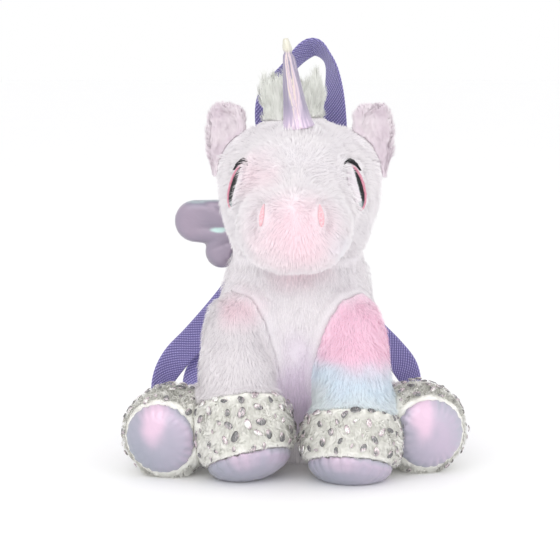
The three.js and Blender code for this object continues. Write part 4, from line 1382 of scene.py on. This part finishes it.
def coil_turns():
    """The coil's turns, left and right by turns, each a bent wire across the gap."""
    turns = []
    heights = np.arange(ZIP["low"] + 2 * MM, ZIP["high"] - 2 * MM, ZIP["tooth"])
    for k, height in enumerate(heights):
        side = 1 if k % 2 else -1
        outs = side * np.array([1.0, 0.75, 0.3, -0.15]) * ZIP["coil"]
        rows = [on_zip([height + 0.15 * MM * n], out) for n, out in enumerate(outs)]
        lifts = np.array([0.4, 1.0, 1.15, 0.7]) * MM
        places = np.array([place[0] + way[0] * lift for (place, way), lift in zip(rows, lifts)])
        turns.append(cord(places, np.array([way[0] for _, way in rows]), 0.5 * MM))
    return turns


def seam_along(out, low, high):
    """A running seam up the zip's tape."""
    threads = []
    for start in np.arange(low, high - ZIP["stitch"], ZIP["stitches_apart"]):
        places, ways = on_zip(np.linspace(start, start + ZIP["stitch"], 4), out)
        threads.append(cord(places + ways * 0.35 * MM, ways, ZIP["thread"]))
    return threads


def sew_zip(cloth, thread):
    parts = [lay_tape(-1), lay_tape(1), *coil_turns()]
    new_piece("zip_tape", *joined(parts), cloth, "zip", ["zip"])
    seams = []
    for side in (-1, 1):
        seams += seam_along(side * ZIP["seam"] * ZIP["half"], ZIP["low"] + 2 * MM, ZIP["high"] - 2 * MM)
    new_piece("zip_seams", *joined(seams), thread, "zip")


def smooth_slab(outline, low, high, edge):
    """A flat plate with rounded edges: an outline in x and z, set between two depths in y."""
    middle = outline.mean(0)
    inward = unit(middle - outline)
    rings = [(low, edge), (low + edge, 0.0), (high - edge, 0.0), (high, edge)]
    points = [np.insert(outline + inward * inset, 1, depth, axis=1) for depth, inset in rings]
    centres = np.array([[middle[0], low, middle[1]], [middle[0], high, middle[1]]])
    count = len(outline)
    faces = []
    for row in range(3):
        for k in range(count):
            a, b = row * count + k, row * count + (k + 1) % count
            faces.append([a, b, b + count, a + count])
    for k in range(0, count, 2):
        n, m = (k + 1) % count, (k + 2) % count
        faces.append([4 * count, m, n, k])
        faces.append([4 * count + 1, 3 * count + k, 3 * count + n, 3 * count + m])
    return np.concatenate([*points, centres]), np.array(faces)


def rounded_outline(wide, tall, bulge=4.0):
    turns = np.arange(32) * 2 * math.pi / 32
    round_x = np.sign(np.cos(turns)) * np.abs(np.cos(turns)) ** (2 / bulge)
    round_z = np.sign(np.sin(turns)) * np.abs(np.sin(turns)) ** (2 / bulge)
    return np.stack([round_x * wide / 2, round_z * tall / 2], 1)


def make_slider(metal):
    """The slider: two plates with a bridge over them, and a pull tab that hangs from it."""
    form = forms["zip_slider"]
    x, z = (form.low[0] + form.high[0]) / 2, form.high[2]
    back = form.high[1]
    plate = rounded_outline(9 * MM, 10 * MM) + (x, z - 5 * MM)
    near = form.low[1]
    bridge = rounded_outline(2.6 * MM, 7 * MM) + (x, z - 5 * MM)
    tab = rounded_outline(6 * MM, 22 * MM, 3.0) + (x, z - 18 * MM)
    neck = rounded_outline(3.2 * MM, 6 * MM) + (x, z - 8 * MM)
    grip = rounded_outline(4.2 * MM, 9 * MM, 3.0) + (x, z - 22 * MM)
    parts = [
        smooth_slab(plate, near, near + 1.9 * MM, 0.5 * MM),
        smooth_slab(bridge, near + 1.5 * MM, back - 0.2 * MM, 0.4 * MM),
        smooth_slab(neck, back - 1.7 * MM, back - 0.5 * MM, 0.3 * MM),
        smooth_slab(tab, back - 1.6 * MM, back - 0.3 * MM, 0.3 * MM),
        smooth_slab(grip, back - 0.7 * MM, back, 0.3 * MM),
    ]
    new_piece("zip_slider_metal", *joined(parts), metal, "zip", ["zip_slider"])


def main():
    place_camera()
    light_studio()
    lay_floor()
    plush = plush_finish("plush")
    # The cloths under the pile carry painted shade: they are darker than the pile and glow less
    cloth = plush_finish("plush under the pile", under=True)
    dyed = plush_finish("tie-dyed plush", tie_dyed=True)
    dyed_cloth = plush_finish("tie-dyed plush under the pile", tie_dyed=True, under=True)
    ears, cuffs, mane, foil = ear_finish(), cuff_finish(), mane_finish(), foil_finish()
    dress_in_plush("body", BODY_PLUSH, plush, "plush", downwards, under=cloth)
    eyes = ["eye_rim_left", "eye_rim_right", "eye_lash_left"]
    dress_in_plush("head", HEAD_PLUSH, plush, "plush", away_from_nose, brushed_over=eyes, under=cloth)
    for side in ("left", "right"):
        fur, base = (dyed, dyed_cloth) if side == "right" else (plush, cloth)
        dress_in_plush(f"front_leg_{side}", LEG_PLUSH, fur, "plush", downwards, under=base)
        dress_in_plush(f"hind_leg_{side}", HIND_PLUSH, plush, "plush", downwards, under=cloth)
        dress_in_plush(f"ear_{side}", EAR_PLUSH, ears, "ear_plush", upwards)
        for leg in ("front", "hind"):
            cuff = f"{leg}_cuff_{side}"
            dress_in_plush(cuff, CUFF_PLUSH, cuffs, "cuff", downwards)
            lay_foil(cuff, foil)
            sole = f"{leg}_sole_{side}"
            # Where each sole's painted highlight sits across it, and how strong it is
            aside, depth = (0.42 if side == "left" else 0.36), (0.3 if leg == "front" else 0.8)
            sew_sole(sole, sole_finish(sole, aside, depth))
        sew_wing(f"wing_{side}", wing_finish(side))
    dress_in_plush("mane", MANE_PLUSH, mane, "mane", upwards)
    sew_horn(horn_finish())
    black = thread_finish("black thread", ink(24, 25, 27), ink(52, 54, 58), shine=0.15)
    pink = thread_finish("pink thread", ink(234, 170, 182), ink(248, 206, 212))
    for side in ("left", "right"):
        embroider_eye(side, black)
        embroider_nostril(side, pink)
    lilac = thread_finish("lilac thread", ink(150, 142, 206), ink(196, 190, 234))
    sew_bands(webbing_finish(), lilac)
    sew_zip(zip_finish(), lilac)
    make_slider(metal_finish())


main()
